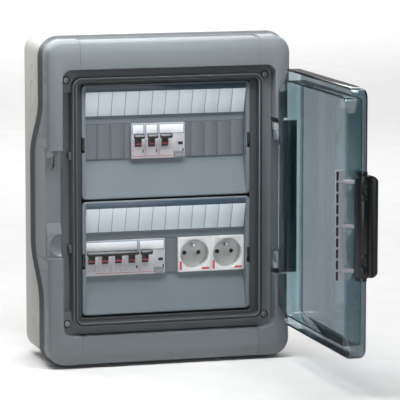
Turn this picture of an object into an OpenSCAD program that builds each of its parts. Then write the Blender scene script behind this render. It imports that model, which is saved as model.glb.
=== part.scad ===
// Surface-mounted distribution board: a rear box, a front cover with two faceplates and a smoked door
// around two rows of modular devices. Two residual current devices, three breakers and two earthed
// socket outlets clip to the rails. The wall is the plane Y = 0, the front looks along -Y and Z is up.
// The door stands open at door_angle, and its pieces are laid out shut and then turned on the hinge.

/* [Rows] */
// Width of one module
module_w = 17.75; // [17.5:0.05:18]
// Modules in one row
row_modules = 12; // [12:1:14]
// Distance between the centres of the two rows
row_pitch = 150; // [144:1:160]
// Empty modules to the left of the upper devices
upper_free = 3.5; // [2.5:0.5:4]
// Poles of the breaker in the lower row
lower_poles = 4; // [3:1:4]
// Modules taken by one residual current device
residual_modules = 2; // [2:1:2]
// Modules taken by one socket outlet
socket_modules = 2.5; // [2.5:0.5:2.5]

/* [Modular devices] */
// Height of the device face that shows in the window
nose_h = 45; // [44:0.5:46]
// Depth of the nose in front of the shoulders
nose_d = 17.5; // [16:0.5:19]
// Overall height of a device behind the faceplate
device_h = 85; // [82:1:88]
// Depth from the device face to the rail seat
seat_d = 62; // [58:1:66]
// How far a device reaches behind the rail seat
heel_d = 5; // [4.5:0.1:6]
// Gap on each side of a device
device_gap = 0.1; // [0.05:0.05:0.2]
// Thickness of the side cover on a residual current device
side_t = 1.5; // [1.2:0.1:2]
// Wall around the hollow of a residual current device
hollow_wall = 2; // [1.5:0.1:3]
// Height of that hollow
hollow_h = 52; // [46:1:56]
// Radius of a terminal screw
terminal_r = 2.6; // [2:0.1:2.8]
// Length of a terminal screw
terminal_l = 4; // [3:0.5:5]
// Depth of a terminal screw below the shoulder
terminal_in = 1; // [0.5:0.1:2]
// Height of the terminal screws above and below the row centre
terminal_z = 33; // [30:0.5:36]
// Radius of a wire entry
entry_r = 3.2; // [2.5:0.1:3.6]
// Depth of a wire entry
entry_d = 10; // [6:0.5:12]
// Height of the clear label cover on a device
cover_h = 13; // [10:0.5:13.5]
// Thickness of the clear label cover
cover_t = 0.8; // [0.6:0.1:1.2]
// Margin of the clear label cover on the device face
cover_margin = 1; // [0.8:0.1:1.4]
// Lap of the hook and the clip of a device behind the edge of the rail
hook_lap = 2; // [1.5:0.1:2.5]
// Gap between the lower edge of the rail and the heel of a device
heel_gap = 2.3; // [2:0.1:3]
// Width of a rail clip
clip_w = 8; // [6:0.5:9]
// Thickness of a rail clip
clip_t = 2; // [1.6:0.1:2.2]
// Margin of the trip relay in the hollow
relay_margin = 2; // [1.5:0.1:3]
// Length of the plunger of the trip relay
plunger_l = 6; // [4:0.5:8]

/* [Toggles and test buttons] */
// Width of a toggle drum
drum_w = 8; // [6:0.5:9]
// Radius of a toggle drum
drum_r = 6.5; // [6:0.1:7]
// Depth of the toggle pivot behind the device face
pivot_d = 4; // [3.6:0.1:4.4]
// Drop of the toggle pivot below the row centre
pivot_drop = 1.5; // [0.5:0.1:2.5]
// Radius of the toggle axle
axle_r = 1.5; // [1.2:0.1:2]
// Reach of the axle beyond each side of the drum
axle_l = 2; // [1.5:0.1:2.5]
// Length of the toggle lever from its pivot to the middle of its head
lever_l = 14; // [13:0.5:16]
// Thickness of the toggle lever
lever_t = 4; // [3:0.1:4.2]
// Height of the toggle head
head_h = 5; // [4:0.5:6]
// Depth of the toggle head
head_d = 5; // [4:0.5:6]
// Width of the head of a single toggle
head_w = 14.2; // [12:0.1:15]
// Upward tilt of a toggle that is switched on
toggle_tilt = 35; // [30:1:36]
// Width of a test button
button_w = 12; // [9:0.5:12]
// Height of a test button
button_h = 6; // [5:0.5:7]
// Height of a test button above the device face
button_out = 1; // [0.6:0.1:1.5]
// Depth of the test button head inside its pocket
button_in = 3.6; // [3:0.1:4]
// Distance of a test button to the right of the device centre
button_x = 9.5; // [9:0.1:9.6]
// Drop of a test button below the row centre
button_drop = 18; // [17:0.1:18.6]
// Inward travel of a test button
button_travel = 2; // [1.5:0.1:2]
// Radius of the push rod behind a test button
rod_r = 1.5; // [1.2:0.1:2]

/* [Rails and chassis] */
// Height of the mounting rail
rail_h = 35; // [35:0.5:35]
// Depth of the mounting rail
rail_d = 7.5; // [7.5:0.5:10]
// Sheet thickness of the rail
rail_t = 1; // [0.8:0.1:1.2]
// Height of the hollow back of the rail
rail_hat = 27; // [25:0.5:27]
// Reach of a rail past the last module
rail_over = 12; // [11:0.5:13]
// Width of an upright that carries the rails
upright_w = 10; // [8:0.5:11]
// Reach of an upright past the row centres
upright_over = 30; // [24:1:36]
// Radius of the screw that holds a rail
rail_screw_r = 2; // [1.5:0.1:2.5]
// Depth of that screw in the upright
rail_screw_l = 14; // [10:1:18]
// Length of the brass earth bar
earth_l = 160; // [140:1:180]
// Section of the brass earth bar
earth_t = 8; // [7:0.5:9]
// Holes along the earth bar
earth_holes = 12; // [8:1:14]
// Height of the earth bar above the wall
earth_y = 46; // [40:1:52]

/* [Faceplates] */
// Border of a faceplate outside the row
plate_border = 5.5; // [5.4:0.1:6]
// Sheet thickness of a faceplate
plate_t = 2.5; // [2:0.1:3]
// Wall that closes each end of the sunk middle of a faceplate
cheek_t = 1.1; // [0.9:0.1:1.3]
// Setback of the faceplate rim from the front of the cover
plate_setback = 20; // [18:0.5:22]
// Setback of the device window from the faceplate rim
window_sink = 13; // [11:0.5:13]
// Reach of the device faces in front of the window
device_out = 5; // [4:0.5:6]
// Height of the sloping label field
label_h = 33; // [28:0.5:34]
// Gap between the window and the label field
label_gap = 10; // [8:0.5:12]
// Thickness of a label strip
label_t = 1.2; // [0.8:0.1:1.5]
// Gap below a label strip on its field
label_low = 0.5; // [0.3:0.1:1]
// Gap above a label strip on its field
label_high = 2; // [1:0.5:3]
// Height of the sloping apron below the window
apron_h = 39; // [34:0.5:40]
// Step in front of the window at the foot of the label field
label_step = 2; // [1.5:0.1:3]
// Gap between the window and the apron
apron_gap = 5; // [4:0.5:7]
// Thickness of a blanking plate
blank_t = 2; // [1.5:0.1:2.5]
// Height of a faceplate latch
latch_h = 15; // [12:0.5:16]
// Width of a faceplate latch
latch_w = 3.4; // [2.6:0.1:3.4]
// Reach of the foot of a faceplate latch past its grip
latch_foot = 2; // [1.5:0.1:3]
// Travel of a faceplate latch
latch_travel = 4; // [3:0.5:5]
// Reach of the latch tongue behind the shelf
tongue_l = 3.5; // [2:0.5:3.5]

/* [Cover] */
// Depth from the wall to the front of the cover
case_d = 141; // [138:1:150]
// Wall thickness of the cover and the rear box
wall_t = 3; // [2.5:0.1:3.5]
// Outer corner radius of the cover
case_r = 22; // [18:1:26]
// Rounding of the front edge
edge_r = 5; // [3:0.5:6]
// Ledge between the faceplates and the upstand at the sides
ledge_side = 8.5; // [7:0.5:10]
// Ledge between the faceplates and the upstand at the ends
ledge_end = 4.5; // [4:0.5:6]
// Thickness of the upstand that carries the door seal
rib_t = 5; // [4.5:0.1:6]
// Setback of the upstand from the front
rib_setback = 8; // [7:0.5:9]
// Outer corner radius of the upstand
rib_r = 12; // [10:0.5:14]
// Trough outside the upstand at the sides
trough_side = 15; // [14.5:0.5:17]
// Trough outside the upstand at the ends
trough_end = 11; // [10:0.5:13]
// Depth of the door recess
recess_d = 21; // [20:0.5:22]
// Corner radius of the door recess
recess_r = 12; // [10:0.5:14]
// Chamfer on the edge of the door recess
recess_c = 2; // [1.5:0.1:2.5]
// Front band of the cover at the sides
band_side = 19.5; // [19:0.5:22]
// Front band of the cover at the ends
band_end = 37.5; // [34:0.5:42]
// Depth of the hinge pocket in the right band
hinge_pocket_d = 25; // [24:0.5:27]
// Depth of the handle pocket in the left band
handle_pocket_d = 17; // [16:0.5:20]
// Extra depth of the latch channel below the recess
channel_d = 11.5; // [11:0.5:13]
// Half height of the latch channel
channel_hh = 141; // [136:1:146]
// Shelf behind the faceplates
shelf_w = 4; // [3:0.1:4]
// Thickness of that shelf
shelf_t = 2; // [1.6:0.1:2.4]
// Thickness of the skirt that laps over the rear box
skirt_t = 1.2; // [1:0.1:1.4]
// Lap of the skirt behind the seal
skirt_lap = 7; // [6:0.5:9]
// Width of the flared lip of the skirt
lip_w = 12; // [9:0.5:12]
// Flare of the lip beyond the side of the cover
lip_out = 4; // [3:0.5:5]
// Extra reach of the skirt at the middle of each side
lip_back = 46; // [40:1:50]
// Half height over which the skirt keeps that extra reach
swell_in = 55; // [50:1:60]
// Half height at which the skirt is back in line
swell_out = 120; // [112:1:128]
// Distance of the cover screws outside the upstand
screw_out = 6; // [5:0.1:7]
// Distance of the cover screws below the top of the upstand
screw_drop = 3; // [2:0.5:6]
// Radius of the shank of a cover screw
cover_screw_r = 2; // [1.6:0.1:2.4]

/* [Rear box] */
// Setback of the rear box from the side of the cover
box_inset = 1.5; // [1.5:0.1:2]
// Depth of the cover in front of the rear box and its seal
hood_d = 33; // [31:0.5:36]
// Thickness of the seal between rear box and cover
seal_t = 2; // [1.5:0.1:2.5]
// Radius of a post for a cover screw
post_r = 6; // [5:0.5:7]
// Depth of the tube on the cover that meets the post
tube_d = 14; // [10:0.5:18]
// Distance between the wall fixing holes across
fix_x = 240; // [220:1:250]
// Distance between the wall fixing holes up
fix_z = 370; // [350:1:376]
// Radius of a wall fixing hole
fix_r = 3; // [2.5:0.1:4]
// Radius of the large knock-out ring
knock_r = 16; // [12:0.5:18]
// Radius of the small knock-out rings
knock_small_r = 9; // [6:0.5:10]
// Width and depth of a knock-out groove
knock_t = 0.8; // [0.5:0.1:1]
// Gap between the knock-outs in the sides
knock_gap = 2.7; // [2:0.1:4]
// Distance between the knock-outs in the top and the bottom
knock_pitch = 50; // [40:1:60]

/* [Door] */
// Opening angle at which the door is drawn
door_angle = 90; // [90:5:90]
// Gap between the door and the recess at the sides
door_gap_side = 8; // [7.5:0.1:8.5]
// Gap between the door and the recess at the ends
door_gap_end = 4; // [3:0.5:5]
// Reach of the shut door in front of the cover
door_out = 13; // [12:0.5:15]
// Reach of the door rim into the recess
rim_in = 8.4; // [7:0.2:9]
// Further reach of the rim at the hinge side
hinge_rim = 8.6; // [7:0.2:9]
// Half height of the deeper rim at the hinge side
hinge_rim_hh = 150; // [140:1:152]
// Wall thickness of the door
door_t = 3; // [2.5:0.1:3.5]
// Corner radius of the door
door_r = 14; // [11:0.5:16]
// Rounding of the front edge of the door
door_edge_r = 5; // [3:0.5:6]
// Thickness of the inner rim that meets the door seal
inner_t = 2.2; // [1.8:0.1:2.6]
// Width of the door seal
door_seal_w = 2; // [1.6:0.1:2.4]
// Height of the door seal above the upstand
door_seal_out = 1.2; // [0.8:0.1:1.6]
// Gap between the shut door and its seal
shut_gap = 0.6; // [0.4:0.1:1]

/* [Hinge] */
// Distance of the hinge axis from the edge of the recess
hinge_in = 7; // [6.6:0.1:7.5]
// Depth of the hinge axis behind the front of the cover
hinge_d = 13; // [12.6:0.1:13.6]
// Half height of the hinge bar
hinge_hh = 99; // [97:1:102]
// Thickness of the hinge bar
bar_t = 4; // [3:0.1:4.2]
// Setback of the ends of the hinge bar from the edge of the deeper rim
bar_setback = 1.5; // [1:0.1:2.5]
// Distance from the front of the door to the hinge bar
bar_drop = 5; // [4:0.5:6]
// Radius of a hinge knuckle
knuckle_r = 6; // [5:0.5:6]
// Inner height of a hinge knuckle
knuckle_z = 74; // [68:1:76]
// Length of a hinge knuckle
knuckle_l = 10.6; // [9:0.2:11]
// Length of a hinge bearing
bearing_l = 10; // [8:0.5:12]
// Half width of a hinge bearing
bearing_hw = 5.5; // [4.5:0.1:5.8]
// Radius of a hinge pin
pin_r = 2; // [1.5:0.1:2.5]

/* [Handle] */
// Half height of the handle barrel
handle_hh = 62; // [58:1:62]
// Radius of the handle barrel
barrel_r = 9.5; // [8.5:0.1:9.5]
// Gap between the barrel and the door
barrel_gap = 1.5; // [1:0.1:2]
// Width of the grip
grip_w = 22; // [18:0.5:24]
// Reach of the grip past each end of the barrel
grip_over = 1; // [0:0.5:2]
// Thickness of the grip
grip_t = 7; // [6:0.5:9]
// Gap between the door face and the grip
grip_gap = 2; // [1.9:0.1:2.5]
// Thickness of the lugs that hold the handle
lug_t = 4; // [3:0.2:4.4]
// Radius of those lugs
lug_r = 7; // [5:0.5:7.5]
// Radius of the handle pin
handle_pin_r = 1.5; // [1.2:0.1:2]
// Half height of the latch plate
tab_hh = 68; // [60:1:72]
// Width of the latch plate
tab_w = 11; // [9:0.5:11]
// Thickness of the latch plate
tab_t = 2; // [1.6:0.1:2.2]
// Distance of the latch plate inside the edge of the door
tab_in = 1; // [0.8:0.1:1.5]
// Gap between the latch plate and the floor of its channel when the door is shut
tab_gap = 3.3; // [2.5:0.1:4]
// Slots along the latch plate
tab_slots = 10; // [6:1:12]
// Length of one of those slots
slot_l = 9.5; // [8:0.1:10]
// Width of one of those slots
slot_w = 2.75; // [2:0.05:3]
// Distance of the slots from the edge of the latch plate
slot_edge = 1.1; // [0.8:0.1:1.5]
// Distance of the outer arms from the ends of the latch plate
arm_in = 13.6; // [10:0.1:16]
// Height of a latch keeper
keeper_h = 10; // [8:0.5:12]
// Thickness of a latch keeper
keeper_t = 3; // [2.5:0.1:3.5]
// Reach of a latch keeper in front of the recess floor
keeper_out = 2; // [1:0.5:3]
// Distance of a latch keeper from the end of the latch plate
keeper_in = 3; // [2:0.5:5]
// Room at the ends of the handle pocket
pocket_room = 3; // [2:0.5:6]

/* [Sockets] */
// Radius of the socket recess
socket_r = 19.3; // [18.5:0.1:19.5]
// Depth of the socket recess
socket_d = 15; // [13:0.5:16]
// Distance between the two contacts
contact_pitch = 19; // [19:0.5:19]
// Radius of a contact hole
contact_r = 2.5; // [2.4:0.1:2.8]
// Wall of a contact sleeve
sleeve_t = 0.8; // [0.6:0.1:1]
// Depth of the contact sleeves behind the socket floor
sleeve_in = 1.5; // [1.2:0.1:2]
// Length of a contact sleeve
sleeve_l = 16; // [12:0.5:20]
// Height of the earth pin above the contacts
earth_pin_z = 10; // [9.5:0.5:10.5]
// Radius of the earth pin
earth_pin_r = 2.4; // [2.2:0.1:2.5]
// Length of the earth pin in front of the socket floor
earth_pin_l = 13; // [11:0.5:14]

/* [Clearances] */
// Gap around a piece that sits in an opening
fit_gap = 0.4; // [0.3:0.05:0.6]
// Gap around a screw shank
screw_gap = 0.1; // [0.05:0.05:0.2]
// Gap around a pin or axle that turns in its bore
run_gap = 0.05; // [0.03:0.01:0.08]
// Gap around a part that slides
slide_gap = 0.3; // [0.2:0.05:0.4]
// Gap around a toggle drum
drum_gap = 0.5; // [0.4:0.05:0.6]
// Gap between the hook of a device and the rail
hook_gap = 0.2; // [0.1:0.05:0.3]

/* [Hidden] */
$fn = 64;
// Overlap of pieces that are joined, and of a cut past the face that it opens
eps = 0.01;
cut = 1;

row_hw = row_modules * module_w / 2;
row_z = row_pitch / 2;
rows = [row_z, -row_z];
function at_module(m) = m * module_w - row_hw;
function mid_module(m, n) = at_module(m + n / 2);

left_m = upper_free;
right_m = left_m + 1;
upper_m = right_m + 1;
upper_end_m = upper_m + residual_modules;
lower_m = lower_poles;
lower_end_m = lower_m + residual_modules;
socket_m = row_modules - 2 * socket_modules;

// Sizes grow outward from the row of modules to the side of the cover
trough_hw = row_hw + fit_gap;
plate_hw = row_hw + plate_border;
open_hw = plate_hw + fit_gap;
open_hh = row_pitch + fit_gap;
rib_in_hw = open_hw + ledge_side;
rib_in_hh = open_hh + ledge_end;
rib_hw = rib_in_hw + rib_t;
rib_hh = rib_in_hh + rib_t;
recess_hw = rib_hw + trough_side;
recess_hh = rib_hh + trough_end;
case_hw = recess_hw + band_side;
case_hh = recess_hh + band_end;
box_hw = case_hw - box_inset;
box_hh = case_hh - box_inset;
box_r = case_r - box_inset;
upright_x = row_hw + rail_over - upright_w / 2;

// Depths are counted from the front of the cover back to the wall
front_y = -case_d;
rib_y = front_y + rib_setback;
recess_y = front_y + recess_d;
hinge_pocket_y = front_y + hinge_pocket_d;
handle_pocket_y = front_y + handle_pocket_d;
channel_y = recess_y + channel_d;
plate_y = front_y + plate_setback;
window_y = plate_y + window_sink;
face_y = window_y - device_out;
shoulder_y = face_y + nose_d;
seat_y = face_y + seat_d;
heel_y = seat_y + heel_d;
rail_back_y = seat_y + rail_d;
seal_y = front_y + hood_d;
box_y = seal_y + seal_t;
lip_y = seal_y + skirt_lap;
shelf_y = plate_y + plate_t;
tube_y = recess_y + wall_t + tube_d;

screw_x = rib_hw + screw_out;
screw_z = rib_hh - screw_drop;
latch_x = (trough_hw + cheek_t + plate_hw) / 2;
foot_hh = latch_h / 2 + latch_foot;
pivot_y = face_y + pivot_d;

hinge_x = recess_hw + hinge_in;
hinge_y = front_y + hinge_d;
door_hw = recess_hw - door_gap_side;
door_hh = recess_hh - door_gap_end;
door_y = front_y - door_out;
rim_y = front_y + rim_in;
hinge_rim_y = rim_y + hinge_rim;
seal_top_y = rib_y - door_seal_out;
seal_hw = (rib_hw + rib_in_hw + door_seal_w) / 2;
seal_hh = (rib_hh + rib_in_hh + door_seal_w) / 2;
inner_hw = (rib_hw + rib_in_hw + inner_t) / 2;
inner_hh = (rib_hh + rib_in_hh + inner_t) / 2;
bearing_z = knuckle_z + knuckle_l + fit_gap;
hinge_pocket_hh = max(hinge_hh, bearing_z + bearing_l) + pocket_room;

barrel_x = -door_hw - barrel_gap - barrel_r;
barrel_y = door_y + door_t + barrel_r;
lug_z = handle_hh + fit_gap;
handle_pocket_hh = lug_z + lug_t + pocket_room;
tab_x = tab_in - door_hw;
tab_y = channel_y - tab_gap;
grip_y = door_y - grip_gap;

// Rounded rectangle about the origin, from half sizes
module round_rect(hw, hh, r) {
    square([2 * (hw - r), 2 * hh], center = true);
    square([2 * hw, 2 * (hh - r)], center = true);
    for (x = [-1, 1], z = [-1, 1])
        translate([x * (hw - r), z * (hh - r)])
            circle(r);
}

// Upright slab with rounded corners between two depths
module slab(hw, hh, r, y0, y1) {
    translate([0, y1, 0])
        rotate([90, 0, 0])
            linear_extrude(y1 - y0)
                round_rect(hw, hh, r);
}

// Upright frame with walls of one thickness between two depths
module ring(hw, hh, r, t, y0, y1) {
    difference() {
        slab(hw, hh, r, y0, y1);
        slab(hw - t, hh - t, r - t, y0 - cut, y1 + cut);
    }
}

// A profile of outward reach and depth, carried round a rounded rectangle
module around(hw, hh, r) {
    for (m = [0, 1]) {
        mirror([m, 0, 0])
            translate([hw, 0, r - hh])
                linear_extrude(2 * (hh - r))
                    children();
        mirror([0, 0, m])
            rotate([0, -90, 0])
                translate([hh, 0, r - hw])
                    linear_extrude(2 * (hw - r))
                        children();
        for (n = [0, 1])
            mirror([m, 0, 0])
                mirror([0, 0, n])
                    translate([hw - r, 0, r - hh])
                        rotate([-90, 0, 0])
                            rotate_extrude(angle = 90)
                                translate([r, 0])
                                    children();
    }
}

// What a rounding takes off the outer front edge of a profile
module edge_cut(r) {
    translate([-r, r])
        difference() {
            translate([0, -r - cut])
                square(r + cut);
            circle(r);
        }
}

// A shape of depth and height, drawn out across the board
module across(x0, x1) {
    translate([x0, 0, 0])
        rotate([90, 0, 90])
            linear_extrude(x1 - x0)
                children();
}

module block(x0, x1, y0, y1, z0, z1) {
    translate([x0, y0, z0])
        cube([x1 - x0, y1 - y0, z1 - z0]);
}

module rod_x(r, x0, x1, y, z) {
    translate([x0, y, z])
        rotate([0, 90, 0])
            cylinder(r = r, h = x1 - x0);
}

module rod_y(r, y0, y1, x, z) {
    translate([x, y0, z])
        rotate([-90, 0, 0])
            cylinder(r = r, h = y1 - y0);
}

module rod_z(r, z0, z1, x, y) {
    translate([x, y, z0])
        cylinder(r = r, h = z1 - z0);
}

module both_sides() {
    children();
    mirror([1, 0, 0])
        children();
}

module both_ends() {
    children();
    mirror([0, 0, 1])
        children();
}

module at_corners(x, z) {
    for (i = [-1, 1], k = [-1, 1])
        translate([i * x, 0, k * z])
            children();
}

// Turns pieces that are laid out for the shut door to the angle at which the door stands
module on_door() {
    translate([hinge_x, hinge_y, 0])
        rotate([0, 0, door_angle])
            translate([-hinge_x, -hinge_y, 0])
                children();
}

// Rear box with wall fixing holes, screw posts and knock-out rings
module rear_box() {
    color("#b4b1a6")
        difference() {
            union() {
                difference() {
                    slab(box_hw, box_hh, box_r, box_y, 0);
                    slab(box_hw - wall_t, box_hh - wall_t, box_r - wall_t, box_y - cut, -wall_t);
                }
                at_corners(screw_x, screw_z)
                    rod_y(post_r, tube_y, -wall_t / 2, 0, 0);
            }
            at_corners(fix_x / 2, fix_z / 2)
                rod_y(fix_r, -wall_t - cut, cut, 0, 0);
            at_corners(screw_x, screw_z)
                rod_y(cover_screw_r + screw_gap, tube_y - cut, tube_y / 2, 0, 0);
            both_sides()
                both_ends()
                    side_knockouts();
            both_ends()
                for (i = [-1, 0, 1])
                    translate([i * knock_pitch, box_y / 2, box_hh])
                        knockout(knock_r);
        }
}

// Groove round a knock-out, cut into a face that looks up
module knockout(r) {
    translate([0, 0, -knock_t])
        difference() {
            cylinder(r = r, h = 2 * knock_t);
            cylinder(r = r - knock_t, h = 2 * knock_t);
        }
}

module side_knockouts() {
    gap = knock_r + knock_gap + knock_small_r;
    for (k = [-1, 0, 1])
        translate([box_hw, box_y / 2, swell_out + knock_r + k * gap])
            rotate([0, 90, 0])
                knockout(k == 0 ? knock_r : knock_small_r);
}

// Flat seal on the front edge of the rear box
module box_seal() {
    color("#202224")
        ring(box_hw, box_hh, box_r, wall_t, seal_y, box_y);
}

// Rear edge of the skirt at a height, swept back at the middle of each side
function swell(z) = z <= swell_in ? 1 : (1 + cos(180 * (z - swell_in) / (swell_out - swell_in))) / 2;
function lip_line(forward) = [
    for (k = [-1, 1], i = [0:12])
        let (z = k < 0 ? swell_out - (swell_out - swell_in) * i / 12
                       : swell_in + (swell_out - swell_in) * i / 12)
            [lip_y + lip_back * swell(z) - forward, k * -z]
];
function backwards(points) = [for (i = [len(points) - 1:-1:0]) points[i]];

// Lip of the skirt along one side, in two steps
module side_lip() {
    across(case_hw - skirt_t, case_hw)
        polygon(concat(lip_line(0), [[seal_y, -swell_out], [seal_y, swell_out]]));
    across(case_hw - skirt_t / 2, case_hw + lip_out / 2)
        polygon(concat(lip_line(0), backwards(lip_line(lip_w))));
    across(case_hw - skirt_t / 2, case_hw + lip_out)
        polygon(concat(lip_line(0), backwards(lip_line(lip_w / 2))));
}

module skirt() {
    ring(case_hw, case_hh, case_r, skirt_t, seal_y - eps, lip_y);
    difference() {
        around(case_hw, case_hh, case_r)
            polygon([
                [-skirt_t / 2, lip_y - lip_w],
                [0, lip_y - lip_w],
                [lip_out, lip_y - lip_out / 2],
                [lip_out, lip_y],
                [-skirt_t / 2, lip_y]
            ]);
        both_sides()
            block(case_hw - 2 * skirt_t, case_hw + 2 * lip_out, lip_y - 2 * lip_w, lip_y + cut,
                -swell_out, swell_out);
    }
    both_sides()
        side_lip();
}

// Floor and end walls under a pocket in the side band on the right
module pocket_tub(hh, floor_y) {
    difference() {
        block(recess_hw, case_hw - wall_t / 2, front_y + edge_r, floor_y + wall_t,
            -hh - wall_t, hh + wall_t);
        block(recess_hw - cut, case_hw + cut, front_y, floor_y, -hh, hh);
    }
}

module pocket_cut(hh, floor_y) {
    block(recess_hw - eps, case_hw + 2 * lip_out, front_y - cut, floor_y, -hh, hh);
}

// Left trough sunk deeper for the latch plate
module latch_channel() {
    block(-recess_hw, -rib_hw, front_y, channel_y, -channel_hh, channel_hh);
}

module shell() {
    ring(case_hw, case_hh, case_r, wall_t, front_y, seal_y);
    difference() {
        slab(case_hw - wall_t / 2, case_hh - wall_t / 2, case_r - wall_t / 2, front_y, front_y + wall_t);
        slab(recess_hw, recess_hh, recess_r, front_y - cut, front_y + wall_t + cut);
    }
    ring(recess_hw + wall_t, recess_hh + wall_t, recess_r + wall_t, wall_t, front_y, recess_y + wall_t);
    difference() {
        slab(recess_hw + wall_t, recess_hh + wall_t, recess_r + wall_t, recess_y, recess_y + wall_t);
        slab(open_hw, open_hh, fit_gap, recess_y - cut, recess_y + wall_t + cut);
    }
    difference() {
        slab(open_hw + wall_t, open_hh + wall_t, wall_t + fit_gap, shelf_y, shelf_y + shelf_t);
        slab(open_hw - shelf_w, open_hh - shelf_w, fit_gap, shelf_y - cut, shelf_y + shelf_t + cut);
    }
    ring(rib_hw, rib_hh, rib_r, rib_t, rib_y, recess_y + wall_t);
    at_corners(screw_x, screw_z)
        rod_y(post_r, recess_y, tube_y, 0, 0);
    skirt();
    pocket_tub(hinge_pocket_hh, hinge_pocket_y);
    mirror([1, 0, 0])
        pocket_tub(handle_pocket_hh, handle_pocket_y);
    block(-recess_hw - wall_t, -rib_in_hw, recess_y, channel_y + wall_t,
        -channel_hh - wall_t, channel_hh + wall_t);
}

// Front cover with the door recess, the upstand round the faceplates and the two side pockets
module front_cover() {
    color("#6a7478")
        difference() {
            shell();
            around(case_hw, case_hh, case_r)
                translate([0, front_y])
                    edge_cut(edge_r);
            around(recess_hw, recess_hh, recess_r)
                polygon([
                    [-cut, front_y - cut],
                    [recess_c + cut, front_y - cut],
                    [0, front_y + recess_c],
                    [-cut, front_y + recess_c]
                ]);
            pocket_cut(hinge_pocket_hh, hinge_pocket_y);
            mirror([1, 0, 0])
                pocket_cut(handle_pocket_hh, handle_pocket_y);
            latch_channel();
            at_corners(screw_x, screw_z)
                rod_y(cover_screw_r + screw_gap, front_y, tube_y + cut, 0, 0);
            ring(seal_hw, seal_hh, rib_r - rib_t / 2, door_seal_w, rib_y - cut, rib_y + door_seal_out);
            for (z = rows)
                both_sides()
                    block(trough_hw, latch_x + latch_w / 2 + slide_gap,
                        shelf_y - cut, shelf_y + shelf_t + cut,
                        z - foot_hh - latch_travel - slide_gap, z + foot_hh + slide_gap);
        }
}

// Four screws that draw the cover onto the rear box
module cover_screws() {
    color("#b8b4a8")
        at_corners(screw_x, screw_z)
            difference() {
                union() {
                    rod_y(2 * cover_screw_r, recess_y - cover_screw_r, recess_y, 0, 0);
                    rod_y(cover_screw_r, recess_y - eps, tube_y / 2 - cover_screw_r, 0, 0);
                }
                block(-cover_screw_r, cover_screw_r,
                    recess_y - 2 * cover_screw_r, recess_y - cover_screw_r / 2,
                    -cover_screw_r / 4, cover_screw_r / 4);
            }
}

// Rubber seal in the groove of the upstand
module door_seal() {
    color("#1b1d1f")
        ring(seal_hw, seal_hh, rib_r - rib_t / 2, door_seal_w, seal_top_y, rib_y + door_seal_out);
}

// Two bearing blocks in the hinge pocket
module hinge_bearings() {
    color("#a9b0b2")
        both_ends()
            difference() {
                block(hinge_x - bearing_hw, hinge_x + bearing_hw, hinge_y - bearing_hw, hinge_pocket_y,
                    bearing_z, bearing_z + bearing_l);
                rod_z(pin_r + run_gap, bearing_z - cut, bearing_z + bearing_l + cut, hinge_x, hinge_y);
            }
}

// Two small keepers beside the latch channel
module latch_keepers() {
    color("#a9b0b2")
        both_ends()
            block(-rib_hw - keeper_t, -rib_hw, recess_y - keeper_out, channel_y,
                tab_hh - keeper_in - keeper_h, tab_hh - keeper_in);
}

// Two uprights on the back of the rear box
module uprights() {
    color("#9aa0a2")
        both_sides()
            difference() {
                block(upright_x - upright_w / 2, upright_x + upright_w / 2, rail_back_y, -wall_t,
                    -row_z - upright_over, row_z + upright_over);
                for (z = rows)
                    rod_y(rail_screw_r + screw_gap, rail_back_y - cut, rail_back_y + rail_screw_l + cut,
                        upright_x, z);
            }
}

// Top-hat rail
module rail(z) {
    lip = rail_h / 2;
    hat = rail_hat / 2;
    color("#c3c6c8")
        difference() {
            across(-row_hw - rail_over, row_hw + rail_over)
                polygon([
                    [seat_y, z + lip],
                    [seat_y, z + hat - rail_t],
                    [rail_back_y - rail_t, z + hat - rail_t],
                    [rail_back_y - rail_t, z - hat + rail_t],
                    [seat_y, z - hat + rail_t],
                    [seat_y, z - lip],
                    [seat_y + rail_t, z - lip],
                    [seat_y + rail_t, z - hat],
                    [rail_back_y, z - hat],
                    [rail_back_y, z + hat],
                    [seat_y + rail_t, z + hat],
                    [seat_y + rail_t, z + lip]
                ]);
            for (i = [-1, 1])
                rod_y(rail_screw_r + screw_gap, seat_y, rail_back_y + cut, i * upright_x, z);
        }
}

module upper_rail() {
    rail(row_z);
}

module lower_rail() {
    rail(-row_z);
}

module rail_screws() {
    head_y = rail_back_y - rail_t;
    color("#d0d2d2")
        at_corners(upright_x, row_z)
            difference() {
                union() {
                    rod_y(2 * rail_screw_r, head_y - rail_screw_r, head_y, 0, 0);
                    rod_y(rail_screw_r, head_y - eps, rail_back_y + rail_screw_l, 0, 0);
                }
                block(-rail_screw_r, rail_screw_r, head_y - 2 * rail_screw_r, head_y - rail_screw_r / 2,
                    -rail_screw_r / 4, rail_screw_r / 4);
            }
}

// Two feet below the lower row that carry the earth bar
module earth_bar_holder() {
    z = -row_pitch;
    color("#3d7a4c")
        both_sides()
            block(earth_l / 2 - 2 * earth_t, earth_l / 2 - earth_t, -earth_y, -wall_t,
                z - earth_t, z + earth_t);
}

module earth_bar() {
    z = -row_pitch;
    pitch = earth_l / earth_holes;
    color("#c39a45")
        difference() {
            block(-earth_l / 2, earth_l / 2, -earth_y - earth_t, -earth_y, z - earth_t / 2, z + earth_t / 2);
            for (i = [0:earth_holes - 1])
                rod_z(earth_t / 4, z - earth_t, z + earth_t, (i + 0.5) * pitch - earth_l / 2,
                    -earth_y - earth_t / 2);
        }
}

// Front line of a faceplate from top to bottom, about its row centre
label_z = nose_h / 2 + fit_gap + label_gap;
apron_z = nose_h / 2 + fit_gap + apron_gap;
label_low_y = window_y - label_step;
plate_hh = row_z - fit_gap / 2;
sunk_line = [
    [plate_y, label_z + label_h],
    [label_low_y, label_z],
    [window_y, label_z - label_step],
    [window_y, -apron_z],
    [plate_y, -apron_z - apron_h]
];
plate_line = concat([[plate_y, plate_hh]], sunk_line, [[plate_y, -plate_hh]]);

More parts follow.
